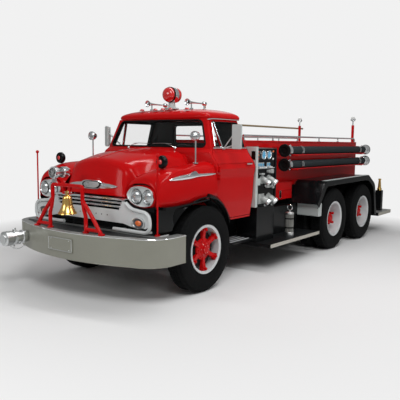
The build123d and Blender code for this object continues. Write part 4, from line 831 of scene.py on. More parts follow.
class SCENE_OT_engine_stage(bpy.types.Operator):
    """Camera, lamps, sky and a pale floor"""
    bl_idname = "scene.engine_stage"
    bl_label = "Stage"

    def execute(self, context):
        context.scene.view_settings.view_transform = "Standard"
        pale = grey(paint_colours().backdrop)
        camera()
        sky(pale)
        for row in LAMPS:
            lamp(*row)
        data = bpy.data.meshes.new("floor")
        edge = [(STAGE_RADIUS * cos(a), STAGE_RADIUS * sin(a), -0.5 * MM) for a in circle(64)]
        data.from_pydata(edge, [], [list(range(len(edge)))])
        data.materials.append(floor_finish(pale))
        placed("floor", data)
        return {"FINISHED"}


# ---------------------------------------------------------- wheels
TYRE_R, TREAD_HALF, SHOULDER_HALF = 500, 73, 87
CARCASS = [(262.3, 94), (290, 94), (300, 101), (324, 108), (332, 108), (335, 111), (341, 111.5),
           (344, 110), (362, 112.5), (385, 113), (430, 110.5), (452, 107), (468, 103), (480, 90)]
RIBS = [(-73, -47), (-40, -17), (-10, 10), (17, 40), (47, 73)]  # tread ribs across the tyre
ZIGZAG = [(0.03, -4), (0.5, 4), (0.97, -4)]         # share of a pitch and sway of a rib's edge
SHOULDER = [(482, 91), (468, 104.6), (446, 108.5)]  # bars that run down the side
BAR_SPAN, BAR_DEPTH = (0.12, 0.62), 6               # their share of a pitch and how far they sink


def tread_pitch():
    """One pitch of the tread round the Z axis: rib blocks and a shoulder bar on each side."""
    form, pitch = Form("tread_pitch"), 2 * pi / sizes().tread_pitches
    base = TYRE_R - 2 - sizes().tread_depth / MM

    def ring(radius, places):
        return [mm(radius * cos(a * pitch), radius * sin(a * pitch), x) for a, x in places]
    for low, high in RIBS:
        top = [(turn, edge + sway * (abs(edge) < TREAD_HALF))
               for edge, run in ((low, ZIGZAG), (high, ZIGZAG[::-1])) for turn, sway in run]
        foot = [(turn, x * SHOULDER_HALF / TREAD_HALF if abs(x) == TREAD_HALF else x)
                for turn, x in top]
        form.hull([ring(TYRE_R - 0.2, top), ring(base, foot)], "tyre")
    for sign in MIRROR_PAIR:
        form.hull([ring(r, [(turn, sign * x) for turn in BAR_SPAN])
                   + ring(r - 2, [(turn, sign * (x - BAR_DEPTH)) for turn in BAR_SPAN[::-1]])
                   for r, x in SHOULDER], "tyre")
    return form


def tyre(form, centre):
    """Carcass with bead and sidewall rings, and the tread round it."""
    crown = TYRE_R - sizes().tread_depth / MM
    form.lathe([*[(r, -x) for r, x in CARCASS], (crown, -TREAD_HALF), (crown, TREAD_HALF),
                *CARCASS[::-1]], centre, X, "tyre", 96, True)
    form.around(tread_pitch(), sizes().tread_pitches, centre, X, "tyre")


def wheel_rule(centre, red_inside, sign):
    """Red middle, silver rim and a brake drum painted black as shade where it shows through the
    spoke windows, told apart by their distance from the axle.
    """
    def rule(spot, n, *box):
        spot = spot - centre
        reach, round_way = spot.yz.length, n.y * spot.z - n.z * spot.y
        # Set-back faces in the spoke windows of the front wheels take black as painted shade.
        if (red_inside > 0.2 and 0.084 < reach < 0.207 and spot.x * sign < 0.046
                and abs(round_way) < 0.3 * reach):
            return "chassis black"
        return "red enamel" if reach < red_inside else "wheel silver"
    return rule


class OBJECT_OT_engine_wheels(bpy.types.Operator):
    """Treaded tyres, painted rims, hubs and lug nuts"""
    bl_idname = "object.engine_wheels"
    bl_label = "Wheels"

    def execute(self, context):
        for side, sign in SIDES:
            self.front(side, X * sign)
            for place in ("forward", "aft"):
                self.twin(f"{side}_{place}", X * sign)
        return {"FINISHED"}

    def bolt_rings(self, form, centre, out, rows):
        for count, pitch, across, height, along, finish, up in rows:
            form.bolts(count, pitch, across, height, centre + out * (along * MM), out, finish, up)

    def front(self, side, out):
        body, centre = f"{side}_front_wheel", middle(f"{side}_front_tyre")
        form = Form(f"{side}_front_tread")
        tyre(form, centre)
        form.made("tyre", (f"{side}_front_tyre",), 28, body)
        dressed(f"{side}_front_rim", wheel_rule(centre, 0.2505, out.x), 2, body=body)
        trim = Form(f"{side}_front_hub_trim")
        self.bolt_rings(trim, centre, out, (
            (6, 226, 30, 12, 100, "red enamel", Y), (12, 104, 16, 14, 60, "red enamel", Z),
            (6, 68, 14, 9, 74, "chrome", Z), (6, 40, 12, 6, 100, "chrome", Z)))
        trim.turned(centre, out,
                    ("red enamel", 32, [(0, 30), (118, 30), (130, 42), (126, 56), (85, 72),
                                        (0, 72)]),
                    ("red enamel", 24, [(50, 85), (55, 90), (52, 104), (30, 108), (0, 108)]))
        valve = centre + out * 0.04 + mm(0, 150, 170)
        trim.rod(valve, valve + out * 0.045 + mm(0, 10, 10), 4, "brass")
        trim.made(body=body)

    def twin(self, name, out):
        body, centre, form = f"{name}_wheels", middle(f"{name}_tyres"), Form(f"{name}_tread")
        for corner, inward in zip(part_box(f"{name}_tyres"), (0.115, -0.115)):
            tyre(form, Vector((corner[0] + inward, centre.y, centre.z)))
        form.made("tyre", (f"{name}_tyres",), 28, body)
        dressed(f"{name}_rims", wheel_rule(centre, 0.1, -1), 2, body=body)
        trim = Form(f"{name}_hub_trim")
        self.bolt_rings(trim, centre, out, ((8, 130, 36, 30, 64, "red enamel", Z),
                                            (8, 45, 14, 8, 175, "red enamel", Z)))
        for a in circle(4):
            foot = centre + out * 0.1 + Vector((0, cos(a + pi / 4), sin(a + pi / 4))) * 0.105
            trim.rod(foot, foot + out * 0.085, 21, "red enamel", 12)
        trim.made("red_paint", body=body)


# ---------------------------------------------------------- bumper deck
BUMPER_HALF, BUMPER_NOSE, BUMPER_SIDE, BUMPER_END = 1170, -1225, -720, -520
BUMPER_RIMS = ((743, "chrome"), (457, "bumper grey"))
DECK_Z, MAT_INSET, MAT_END = 750.4, 75, -885
PLATE, PLATE_HALF = at(-10, -1232, 606), (200, 75)
CHAIN_LINKS, INTAKE = 12, (-800, 590)               # the intake's place across and its height


def arc(first, middle, last, steps):
    """Points on the circle through three (x, y) points, without the last."""
    a, b, c = (complex(*p) for p in (first, middle, last))
    w = (c - a) / (b - a)
    centre = a + (b - a) * (w - abs(w) ** 2) / (2j * w.imag)
    sweep = phase((b - centre) / (a - centre)) + phase((c - centre) / (b - centre))
    points = [centre + (a - centre) * exp(1j * sweep * step / steps) for step in range(steps)]
    return [(p.real, p.imag) for p in points]


def bumper_edge(inset):
    """Bumper outline from the left end round the nose to the right end, (x, y) in mm."""
    half, side = BUMPER_HALF - inset, BUMPER_SIDE + inset * 0.2
    x, y = 900 - inset * 0.4, -1050 + inset
    mid_x, mid_y = 1105 - inset * 0.75, -935 + inset * 0.7
    return [(half, BUMPER_END), *arc((half, side), (mid_x, mid_y), (x, y), 12),
            *arc((x, y), (0, BUMPER_NOSE + inset), (-x, y), 28),
            *arc((-x, y), (-mid_x, mid_y), (-half, side), 12), (-half, side), (-half, BUMPER_END)]


class OBJECT_OT_engine_bumper(bpy.types.Operator):
    """Bumper with its bright rim, plate and deck, the intake and the guide poles"""
    bl_idname = "object.engine_bumper"
    bl_label = "Bumper deck"

    def execute(self, context):
        dressed("front_bumper",
                lambda spot, n, *box: "tread plate" if n.z > 0.9 else "bumper grey", 3)
        rim = Form("bumper_rim")
        for z, finish in BUMPER_RIMS:
            rim.tube([at(x, y, z) for x, y in bumper_edge(4)], 6.5, finish, 10)
        mat = [at(x, y, DECK_Z) for x, y in bumper_edge(MAT_INSET) if y < MAT_END]
        rim.prism(mat, mm(0, 0, 2), "dark tread")
        self.plate(rim)
        rim.made()
        dressed("deck_frames", "red enamel", 0)
        dressed("suction_intake", "soft chrome", 3)
        self.intake()
        return {"FINISHED"}

    def plate(self, form):
        """Blank registration plate with a pressed rim and four screws."""
        x, z = PLATE_HALF
        form.block(PLATE - mm(x, 0, z), PLATE + mm(x, 14, z), "bumper grey")
        form.tube(oblong(PLATE - Y * MM, mm(x - 8, 0, 0), mm(0, 0, z - 8), 0.014, 4), 3.5,
                  "soft chrome", 8, True)
        for a, b in SQUARE:
            form.rivet(7, PLATE + mm(a * 150, -1, b * 52), "soft chrome")

    def intake(self):
        """Cap lugs, rubber rings and a hanging chain of flat links."""
        tip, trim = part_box("suction_intake")[0][1], Form("intake_trim")
        x, z = INTAKE
        trim.lugs(4, (82, -9, 6), (104, 9, 30), at(x, -1257, z), -Y, "soft chrome", 4)
        start = Vector((x * MM, tip, z * MM))
        for gap in (118, 190):
            trim.lathe([(60, gap - 4), (70, gap), (60, gap + 4)], start, Y, "black rubber")
        chain = [start + mm(50 - 20 * t, 60 + 240 * t, -78 - 50 * sin(pi * t))
                 for t in (step / CHAIN_LINKS for step in range(CHAIN_LINKS + 1))]
        for index, (one, two) in enumerate(zip(chain, chain[1:])):
            along, side = (two - one).normalized(), X if index % 2 else Z
            side, reach = (side - along * side.dot(along)) * (4 * MM), (two - one) * 0.15
            loop = [one - reach + side, two + reach + side, two + reach - side, one - reach - side]
            trim.tube(rounded(loop, 0.004, 2, True), 1.6, "chrome", 5, True)
        trim.made()


# ---------------------------------------------------------- bell and siren
BELL_PROFILE = [(104, 0), (101, 8), (86, 34), (71, 66), (60, 100), (55, 130), (51, 160), (47, 180),
                (34, 200), (0, 207)]
BELL_WALL, BELL_LIP = 7, 20
BELL_BEADS = ((100.5, 12), (97, 19), (49.7, 172))   # radius and height
BELL_MOUTH, BELL_PIVOT, SIREN_FACE = at(0, -1130, 930), at(0, -1130, 1165), at(-215, -1150, 1370)


class OBJECT_OT_engine_bell(bpy.types.Operator):
    """Cast bell with its clapper and yoke, and the drum siren"""
    bl_idname = "object.engine_bell"
    bl_label = "Bell and siren"

    def execute(self, context):
        mouth, pivot, bell = BELL_MOUTH, BELL_PIVOT, Form("bell_casting")
        outer = smoothed(BELL_PROFILE, 3)
        inner = [(max(r - BELL_WALL, 0), max(z - BELL_WALL, 0) if z > BELL_LIP else z)
                 for r, z in outer]
        bell.turned(mouth, Z,
                    ("brass", 56, [*outer, (0, inner[-1][1] - 3), *inner[-2::-1]]),
                    *[("brass", -56, [(r - 3, z - 2), (r + 1.5, z), (r - 3, z + 2)])
                      for r, z in BELL_BEADS],
                    ("chassis black", 20, [(0, 42), (12, 47), (17, 62), (12, 77), (0, 82)]))
        bell.block(mouth + mm(-20, -13, 200), pivot + mm(20, 13, 16), "brass", 5)
        bell.rod(pivot - X * 0.068, pivot + X * 0.068, 8, "soft chrome")
        bell.rod(mouth + Z * 0.062, mouth + Z * 0.2, 5, "chassis black")
        bell.made("brass", ("bell",), body="bell")
        self.siren()
        return {"FINISHED"}

    def siren(self):
        dressed("siren", "chrome", 2.5)
        centre, trim = SIREN_FACE, Form("siren_trim")
        trim.lugs(18, (14, -2, 0), (52, 2, 10), centre, -Y, "soft chrome", 0.8)
        # A black disc behind the vanes is painted shade that stands for the dark inside of the drum.
        trim.turned(centre, -Y,
                    ("black rubber", 40, [(0, 1), (53, 1), (53, -0.8), (0, -0.8)]),
                    ("chrome", 24, [(0, 12), (12, 10), (16, 0), (0, 0)]),
                    ("chrome", -48, [(52, 0), (53, 10), (61, 12), (65.5, 7), (65.5, 0)]))
        # Black blocks round the drum are painted shade that stands for its slots.
        trim.lugs(24, (52, -3.5, -28), (56, 3.5, 28), centre + Y * 0.083, Y, "black rubber", 1)
        trim.made()


# ---------------------------------------------------------- grille and lamps
LAMP_SPOTS, LAMP_HEIGHT, LAMP_FACE = (700, 872), 1142, -775
BEZEL = smoothed([(560, 1150), (590, 1205), (640, 1238), (720, 1252), (800, 1250), (880, 1234),
                  (928, 1200), (948, 1130), (915, 1066), (860, 1042), (780, 1034), (680, 1050),
                  (600, 1092)], 4, True)
BEZEL_MIDDLE = sum(BEZEL, Vector((0, 0))) / len(BEZEL)
GRILLE_RODS = ((1096, 590), (1061, 548), (1019, 528))       # height and half length
TUBE_PATH = ((606, 1070), (690, 1010), (950, 984), (954, 778), (420, 778))
ROD_Y, TUBE_Y, STAYS = -842, -844, (520, 900)


def bezel_rings(sign, steps):
    """Outlines of the twin lamp's bezel, each with its scale and its place along the engine."""
    loops = [([BEZEL_MIDDLE + (p - BEZEL_MIDDLE) * scale for p in BEZEL], y) for scale, y in steps]
    return [[at(sign * p.x, y, p.y) for p in loop] for loop, y in loops]


def grille_rule(spot, n, low, high):
    """Bars and frame by their width; the bright tubes go, as they are bent anew."""
    width = high.x - low.x
    return None if width < 0.9 else "grille white" if width > 1.5 else "chrome"


class OBJECT_OT_engine_grille(bpy.types.Operator):
    """Grille bars and surround, headlamps in their bezels, parking and turn lamps"""
    bl_idname = "object.engine_grille"
    bl_label = "Grille and lamps"

    def execute(self, context):
        dressed("grille", grille_rule, 3)
        trim = Form("grille_trim")
        for z, half in GRILLE_RODS:
            trim.rod(at(-half, ROD_Y, z), at(half, ROD_Y, z), 8.5, "chrome")
        # A row of black domes stands for the holes in the grille panel; their black is painted
        # shade.
        trim.absorb(repeated(rivet(7), "black rubber", 8, X * 0.09),
                    facing(at(-315, -840, 918), -Y))
        trim.made()
        for side, sign in SIDES:
            self.surround(side, sign)
            self.headlamps(side, sign)
            self.parking(side, sign)
            self.turn_lamp(side, sign)
        return {"FINISHED"}

    def surround(self, side, sign):
        """Thick tube under the headlamp, round the corner and along the bottom, on two stays."""
        form = Form(f"{side}_grille_tube")
        path = rounded([at(sign * x, TUBE_Y, z) for x, z in TUBE_PATH], 0.095, 8)
        form.tube(path, 20, "grille white", 16)
        for x in STAYS:
            form.block(at(sign * (x - 20), TUBE_Y, 766), at(sign * (x + 20), -770.3, 790),
                       "grille white")
        form.made("silver_paint")

    def headlamps(self, side, sign):
        form = Form(f"{side}_headlamp")
        form.hull(bezel_rings(sign, ((0.99, -756), (1.0, -772), (0.985, -786), (0.955, -791),
                                     (0.93, -786), (0.9, -779), (0.89, -770))), "grille white")
        for x in LAMP_SPOTS:
            spot = at(sign * x, LAMP_FACE, LAMP_HEIGHT)
            form.turned(spot, -Y,
                        ("chrome", -48, [(63, 0), (64.5, 10), (68, 16), (73.5, 12), (75, 0)]),
                        ("lamp glass", 48, [(63, 0), (62.5, 6), (50, 16), (28, 22), (0, 24)]),
                        ("black rubber", -48, [(76.5, 4), (76.5, 5.5), (82, 5.5), (82, 4)]))
            for a in circle(3):
                form.rivet(4, spot + mm(-sin(a) * 71, -13, cos(a) * 71), "chrome")
        form.made("chrome", ("headlamps",) * (sign > 0))

    def parking(self, side, sign):
        """Oval ringed lamp in the wing of the grille."""
        unit = Form("lamp").turned(
            (0, 0, 0), -Y,
            ("soft chrome", -40, [(28, 0), (29, 10), (32, 16), (36, 14), (38, 0)]),
            ("engine grey", 40, [(29, 0), (29, 2), (18, 4), (0, 4)]),
            ("amber lens", 40, [(17, 0), (17, 10), (11, 16), (0, 18)]))
        spot = Matrix.Translation(at(sign * 790, -840.3, 870))
        form = Form(f"{side}_parking_lamp").absorb(
            unit.mesh(), spot @ Matrix.Diagonal((2.5, 1.0, 1.7, 1.0)))
        form.made("lamp_amber", ("signal_lamps",) * (sign > 0))

    def turn_lamp(self, side, sign):
        spot, form = at(sign * 850, -570, 1506), Form(f"{side}_turn_lamp")
        form.turned(spot, Y, ("black enamel", 40, [
            (0, 2), (34, 1), (59, 0), (66, 6), (70, 18), (70, 40), (59, 56), (38, 62), (0, 62)]))
        form.turned(spot, -Y, ("red lens", 28, [(25, 0), (25, 5), (15, 10), (0, 12)]),
                    ("black rubber", -28, [(26, 0), (27, 6), (30, 6), (32, 0)]))
        form.rod(spot + mm(0, 30, -70), spot + mm(0, 30, -36), 12, "black enamel")
        form.turned(spot + mm(0, 30, -67), Z,
                    ("black enamel", 20, [(24, 0), (24, 4), (14, 10), (0, 11)]))
        form.made("black_paint")


# ---------------------------------------------------------- hood and fenders
HOOD = [  # y, half width, lower edge, shoulder half width, shoulder height, crown height
    (-800, 494, 1116, 462, 1126, 1132), (-786, 496, 1116, 460, 1178, 1196),
    (-757, 501, 1116, 456, 1272, 1308), (-730, 505, 1116, 452, 1352, 1408),
    (-712, 507, 1118, 452, 1402, 1470), (-690, 512, 1180, 454, 1430, 1506),
    (-650, 533, 1322, 463, 1458, 1532), (-560, 547, 1350, 477, 1482, 1553),
    (-430, 567, 1377, 499, 1516, 1581), (-300, 585, 1400, 515, 1545, 1605),
    (-150, 603, 1419, 531, 1562, 1624), (0, 622, 1436, 548, 1575, 1640),
    (150, 640, 1450, 565, 1585, 1652)]
NOSE_BOW, NOSE_BACK, NOSE_RUN = 42, -480, 300       # how far the nose's sides sit back, and where
FENDER = [  # y, then x and z of eight points from the hood's valley over to the lower edge
    (-772, 538, 1175, 575, 1240, 640, 1272, 730, 1288, 860, 1282, 950, 1225, 978, 1130, 968, 1045),
    (-735, 532, 1240, 585, 1300, 670, 1335, 770, 1352, 890, 1338, 965, 1275, 985, 1160, 985, 1045),
    (-620, 550, 1330, 610, 1362, 705, 1392, 800, 1408, 915, 1388, 975, 1330, 993, 1180, 995, 1045),
    (-450, 577, 1384, 650, 1408, 740, 1432, 850, 1446, 940, 1424, 985, 1372, 1000, 1200, 1000, 1045),
    (-100, 622, 1426, 690, 1446, 775, 1462, 860, 1468, 945, 1440, 988, 1385, 1000, 1220, 1000, 1070),
    (278, 670, 1462, 730, 1482, 800, 1497, 865, 1500, 945, 1462, 988, 1392, 1000, 1230, 1000, 1095)]
ARCH_IN, ARCH_OUT, ARCH_Z = 592, 652, 500           # wheel arch radii and their centre's height
FLARE_START, FLARE_SWEEP, FLARE_STEPS = radians(24), radians(122), 36
FLARE_FRONT, FRONT_SWEEP, LIP_RISE = radians(84), radians(62), radians(45)
SPEAR = [(-585, 3, 1318), (-545, 12, 1322), (-470, 21, 1330), (-380, 27, 1336), (-280, 29, 1342),
         (-200, 26, 1346), (-120, 20, 1350), (0, 16, 1352), (120, 14, 1354), (236, 9, 1356)]
SPEAR_FIN = [(-262, 1360), (-218, 1388), (-172, 1402), (-142, 1394), (-116, 1362)]
HOOD_RIDGE = [(-690, 1507), (-650, 1533), (-560, 1554), (-300, 1606), (0, 1641), (146, 1652)]
BADGE = [(-185, 6), (-160, 36), (-95, 48), (95, 48), (160, 36), (185, 6), (140, -34), (60, -46),
         (-60, -46), (-140, -34)]
BADGE_LAYERS = ((1.0, 14, "chrome"), (0.84, 19, "black enamel"), (0.7, 22, "soft chrome"))
BADGE_BLADE = ((120, 30), (190, 30), (270, 26), (340, 18), (395, 5))


def hood_row(y, half, low, shoulder, shoulder_z, crown):
    """Points across the hood, from one lower edge over the crown to the other."""
    def top(x):
        return Vector((x, crown - (crown - shoulder_z) * (x / shoulder) ** 2))
    foot, corner = Vector((half, low)), Vector((shoulder, shoulder_z))
    side = [foot + (corner - foot) * t for t in (0, 0.2, 0.4, 0.55)]
    bend = [side[-1] * (1 - t) ** 2 + corner * 2 * t * (1 - t) + top(shoulder - 120) * t * t
            for t in (step / 8 for step in range(1, 9))]
    near = side + bend + [top(shoulder * part) for part in (0.58, 0.44, 0.3, 0.15)]
    bow = NOSE_BOW * share((NOSE_BACK - y) / NOSE_RUN)
    return [at(x, y + bow * abs(x / half) ** 3, z) for x, z in (
        *near, (0, crown), *((-x, z) for x, z in near[::-1]))]


def nose(x, z, out):
    """Point in front of the hood's leaning nose."""
    return at(x, -802 + 0.3 * max(0, z - 1132) + NOSE_BOW * abs(x / 500) ** 3 - out, z)


class OBJECT_OT_engine_hood(bpy.types.Operator):
    """Hood with its badge bar, fenders with lamp fairings, wheel flares and side spears"""
    bl_idname = "object.engine_hood"
    bl_label = "Hood and fenders"

    def execute(self, context):
        def wall(p):
            return p + Vector((-p.x * 0.012, 0.006 * share((AXLE_Y - p.y) / 0.7), -0.006))
        shell = Form("hood_skin")
        shell.skin([hood_row(*row) for row in smoothed(HOOD, 4)], "red enamel", wall)
        shell.made("red_paint", ("hood",), 50, "hood")
        recoat("splash_panels", "black enamel")
        self.hood_trim()
        for side, sign in SIDES:
            self.fender(side, sign)
            self.flare(side, sign)
            self.spear(side, sign)
        return {"FINISHED"}

    def fender(self, side, sign):
        form = Form(f"{side}_fender_skin")
        rows = [[at(sign * x, y, z) for x, z in smoothed(list(zip(flat[::2], flat[1::2])), 3)]
                for y, *flat in smoothed(FENDER, 4)]
        form.skin(rows, "red enamel", lambda p: p + mm(-sign * 8, 4, -8))
        form.hull(bezel_rings(sign, ((0.97, -762), (1.005, -780), (1.035, -783), (1.07, -776),
                                     (1.1, -758), (1.12, -722))), "red enamel")
        form.made("red_paint", ("front_fenders",) * (sign > 0), 50)

    def flare(self, side, sign):
        """Black lip of the wheel arch, widest over the wheel and narrower behind it."""
        form, rings = Form(f"{side}_wheel_flare"), []
        for step in range(FLARE_STEPS + 1):
            turn = FLARE_START + FLARE_SWEEP * step / FLARE_STEPS
            front = share((turn - FLARE_FRONT) / FRONT_SWEEP)
            edge_y, edge_z = ARCH_OUT * cos(turn), ARCH_Z + ARCH_OUT * sin(turn)
            if front:
                edge_y, edge_z = 68 - 790 * front, 1078 - 36 * min(1.0, 1.6 * front)
            lip = 1004 + 46 * share((turn - FLARE_START) / LIP_RISE) - 84 * max(0.0, front - 0.3)
            rings.append([at(sign * x, y, z) for x, y, z in (
                (950, edge_y, edge_z), (982 - 16 * front, edge_y, edge_z),
                *[(x, ARCH_IN * grow * cos(turn), ARCH_Z + ARCH_IN * grow * sin(turn))
                  for x, grow in ((lip - 5, 1.025), (lip, 1.008), (lip - 5, 1.0), (950, 1.0))])])
        form.hull(rings, "black enamel")
        edge = [(598 * cos(radians(t)), ARCH_Z + 598 * sin(radians(t)))
                for t in range(113, 154, 4)]
        form.prism([at(sign * 976, y, z) for y, z in ((-756, 772), (-756, 1052), *edge)],
                   mm(sign * 10, 0, 0), "black enamel")
        form.made("black_paint", (), 30)

    def hood_trim(self):
        """Ridge along the crown and a plain chrome badge bar with blades on the nose."""
        form = Form("hood_trim")
        form.tube(smoothed([at(0, y, z) for y, z in HOOD_RIDGE], 4), 4, "red enamel", 8)
        for sign in MIRROR_PAIR:
            form.hull([[nose(sign * x, 1224 + h * sin(a), 4 + 13 * cos(a)) for a in circle(12)]
                       for x, h in BADGE_BLADE], "chrome")
        for scale, out, finish in BADGE_LAYERS:
            outline = [nose(x * scale, 1230 + z * scale, out) for x, z in smoothed(BADGE, 3, True)]
            form.prism(outline, mm(0, 20, 0), finish)
        form.made(body="hood")

    def spear(self, side, sign):
        """Long flattened chrome dart on the flank with a raised fin."""
        form = Form(f"{side}_spear")
        form.hull([[at(sign * (995 + h * 0.5 * cos(a)), y, z + h * sin(a)) for a in circle(14)]
                   for y, h, z in smoothed(SPEAR, 4)], "chrome")
        fin = [at(sign * 990, y, z) for y, z in smoothed(SPEAR_FIN, 3, True)]
        form.prism(fin, mm(sign * 20, 0, 0), "chrome")
        form.made("chrome", (), 50)


# ---------------------------------------------------------- cab
BELT, EAVES = 1640, 2010
CAB_MIDDLE = at(0, 700, 1500)
MIRROR_TURN = radians(-32)      # the far mirror looks towards the driver
CREASES = (960, 1040, 1260, 1340, 1397, 1413, 1455, 1485, 1580, 1615, 1630)     # beside the bends
SCREEN = [Vector(p) for p in ((-806, 1664), (806, 1664), (684, 1990), (-684, 1990))]
DRIP_RAIL = ((748, 392, 1998), (762, 470, 2008), (766, 600, 2010), (766, 1010, 2010),
             (752, 1080, 2008))
REAR_WINDOW = ((-400, 1700), (400, 1700), (370, 1955), (-370, 1955))
SPOTLIGHT, MIRROR, INNER_DOOR = (872, -16, 1790), (1117, 490, 1790), 938
DOOR_FRAMES = (  # places along the window channel and the vent pane, mm out, corners, radius
    (((388, 1658), (466, 1972), (1036, 1972), (1060, 1658)), -6, 0.03, 8.5, "black rubber"),
    (((400, 1664), (474, 1966), (500, 1966), (549, 1664)), 1, 0.02, 5, "chrome"))
DOOR_BEADS = (
    (8, "chrome", ((874, 345, 1652), (875, 500, 1652), (876, 800, 1652), (875, 1085, 1652))),
    (7, "red enamel", ((986, 300, 1468), (986, 600, 1472), (986, 900, 1474), (986, 1096, 1474))))


def upper_half(z):
    """Half width of the glasshouse at a height."""
    return 872 - 130 * (z - BELT) / (EAVES - BELT)


def shield_point(x, z, out=0.0):
    """Point on the bowed front of the glasshouse, moved out by some mm."""
    up = (z - BELT) / (EAVES - BELT)
    middle, side = 195 + 150 * up, 300 + 85 * up
    return at(x, middle + (side - middle) * (x / upper_half(z)) ** 2 - out, z)


def side_run(sign, out, places):
    """Points on the glasshouse's side from (y, z) places, moved out by some mm."""
    return [at(sign * (upper_half(z) + out), y, z) for y, z in places]


def shell_rule(spot, n, low, high):
    """Enamel outside, dark lining where a face looks towards the cab's middle, a bright handle."""
    away = Vector((spot.x - CAB_MIDDLE.x, spot.y - CAB_MIDDLE.y, 0)).normalized()
    if abs(spot.x) > 1.0105 and abs(spot.z - 1.455) < 0.012:
        return "chrome"
    if spot.z > 2.0:
        return "cab lining" if n.z < -0.3 and spot.z > 2.012 else "red enamel"
    return "cab lining" if abs(n.z) < 0.75 and away.dot(n) < -0.25 else "red enamel"


class OBJECT_OT_engine_cab(bpy.types.Operator):
    """Cab shell, roof, doors, window seals, wipers, mirrors and cowl lamps"""
    bl_idname = "object.engine_cab"
    bl_label = "Cab"

    def execute(self, context):
        dressed("cab_shell", shell_rule, 2, 30, CREASES)
        recoat("cab_glass", "window")
        self.windshield()
        for side, sign in SIDES:
            self.wiper(side, sign)
        rear, rail, faces = Form("rear_window_seal"), Form("drip_rail"), Form("spotlight_faces")
        for back in (1168, 1122):
            loop = [at(x, back - (z - 1700) * 0.16, z) for x, z in REAR_WINDOW]
            rear.tube(rounded(loop, 0.05, 5, True), 10, "black rubber", 8, True)
        rear.made("black_paint")
        for side, sign in SIDES:
            dressed(f"{side}_door", shell_rule, 2, 30, CREASES, f"{side}_door")
            recoat(f"{side}_door_glass", "window")
            self.door_trim(side, sign)
            self.mirror(side, sign)
            self.cheek(side, sign)
            gutter = [at(sign * x, y, z) for x, y, z in DRIP_RAIL]
            rail.tube(rounded(gutter, 0.04), 5.5, "chrome", 8)
            x, y, z = SPOTLIGHT
            faces.turned(at(sign * x, y, z), -Y,
                         ("lamp glass", 36, [(50, 0), (49, 4), (30, 10), (0, 13)]),
                         ("chrome", -36, [(50, 0), (52, 8), (57, 6), (58, 0)]))
        rail.made()
        dressed("cowl_spotlights", "chrome", 2)
        faces.made()
        return {"FINISHED"}

    def cheek(self, side, sign):
        """Fill between the cowl and the hood's rear edge."""
        rows = [hood_row(y, 642, 1445, 566, 1584, 1650)[:8] for y in (158, 190, 230, 290)]
        cheek = Form(f"{side}_cowl_cheek")
        cheek.skin([[Vector((sign * p.x, p.y, p.z)) for p in row] for row in rows], "red enamel",
                   lambda p: p + mm(-sign * 30, 0, -20))
        cheek.made("red_paint", (), 50)

    def windshield(self):
        """Rubber seal round the glass, with enamel behind its rounded corners."""
        form, loop = Form("windshield_seal"), rounded(SCREEN, 62, 6, True)
        count, centre = len(loop) // 4, sum(SCREEN, Vector((0, 0))) / 4
        for k, corner in enumerate(SCREEN):
            fill = [corner + (corner - centre).normalized() * 14, *loop[k * count:(k + 1) * count]]
            form.prism([shield_point(*p, 3) for p in fill], mm(0, 12, 4), "red enamel")
        dense = []
        for one, two in zip(loop, loop[1:] + loop[:1]):
            steps = max(1, round((two - one).length / 90))
            dense += [one + (two - one) * (k / steps) for k in range(steps)]
        form.tube([shield_point(*p, 1) for p in dense], 11, "black rubber", 10, True)
        form.made()

    def wiper(self, side, sign):
        arm, pivot = Form(f"{side}_wiper"), shield_point(sign * 400, 1646, 8)
        arm.lathe([(18, -10), (18, 8), (10, 16), (0, 18)], pivot, (0, -1, 0.6), "chrome", 20)
        arm.tube(rounded([pivot + mm(0, -12, 6), pivot + mm(-sign * 60, -12, 30),
                          shield_point(sign * 235, 1702, 12)], 0.02), 3.5, "chrome", 8)
        blade = [shield_point(sign * x, z, 7) for x, z in ((30, 1697), (130, 1701), (235, 1702),
                                                           (330, 1698))]
        arm.tube(blade, 3.5, "black rubber", 8)
        arm.tube([p + mm(0, -5, 1) for p in blade], 2.5, "soft chrome", 8)
        arm.made()

    def door_trim(self, side, sign):
        """Window channel, vent pane, sill, lock, bead and the fittings of the inner face."""
        form, face = Form(f"{side}_door_trim"), INNER_DOOR
        for places, out, reach, radius, finish in DOOR_FRAMES:
            loop = rounded(side_run(sign, out, places), reach, 5, True)
            form.tube(loop, radius, finish, 8, True)
        form.tube(side_run(sign, 2, ((560, 1660), (511, 1968))), 5.5, "chrome", 8)
        for radius, finish, places in DOOR_BEADS:
            form.tube([at(sign * x, y, z) for x, y, z in places], radius, finish, 10)
        form.rod(at(sign * 848, 470, 1700), at(sign * 828, 470, 1700), 6, "chrome")
        form.turned(at(sign * 994, 920, 1400), X * sign,
                    ("chrome", 20, [(12, 0), (14, 4), (8, 8), (0, 9)]))
        form.block(at(sign * (face - 50), 600, 1390), at(sign * face, 900, 1430), "vinyl", 12)
        hub = at(sign * face, 760, 1330)
        form.turned(hub, X * -sign, ("chrome", 16, [(16, 0), (16, 12), (10, 18), (0, 20)]))
        tip = hub + mm(-sign * 22, 20, -100)
        form.rod(hub + mm(-sign * 15, 0, 0), tip, 6, "chrome")
        form.rod(tip, tip + mm(-sign * 30, 0, 0), 10, "black rubber")
        form.made(body=f"{side}_door")

    def mirror(self, side, sign):
        centre = at(sign * MIRROR[0], *MIRROR[1:])
        turn = (Matrix.Translation(centre) @ Matrix.Rotation(MIRROR_TURN * (sign < 0), 4, "Z")
                @ Matrix.Translation(-centre))
        housing = dressed(f"{side}_mirror", "panel grey", 2, body=f"{side}_door")
        for v in housing.data.vertices:
            if (v.co - centre).xy.length < 0.064 and abs(v.co.z - centre.z) < 0.15:
                v.co = turn @ v.co
        form = Form(f"{side}_mirror_trim")
        form.block(centre + mm(-52, 15.8, -135), centre + mm(52, 18, 135), "mirror glass", 1)
        form.tube(oblong(centre + mm(0, 16.5, 0), mm(58.5, 0, 0), mm(0, 0, 141.5), 0.014, 4), 3.5,
                  "chrome", 8, True)
        form.points = [tuple(turn @ Vector(p)) for p in form.points]
        form.made(body=f"{side}_door")


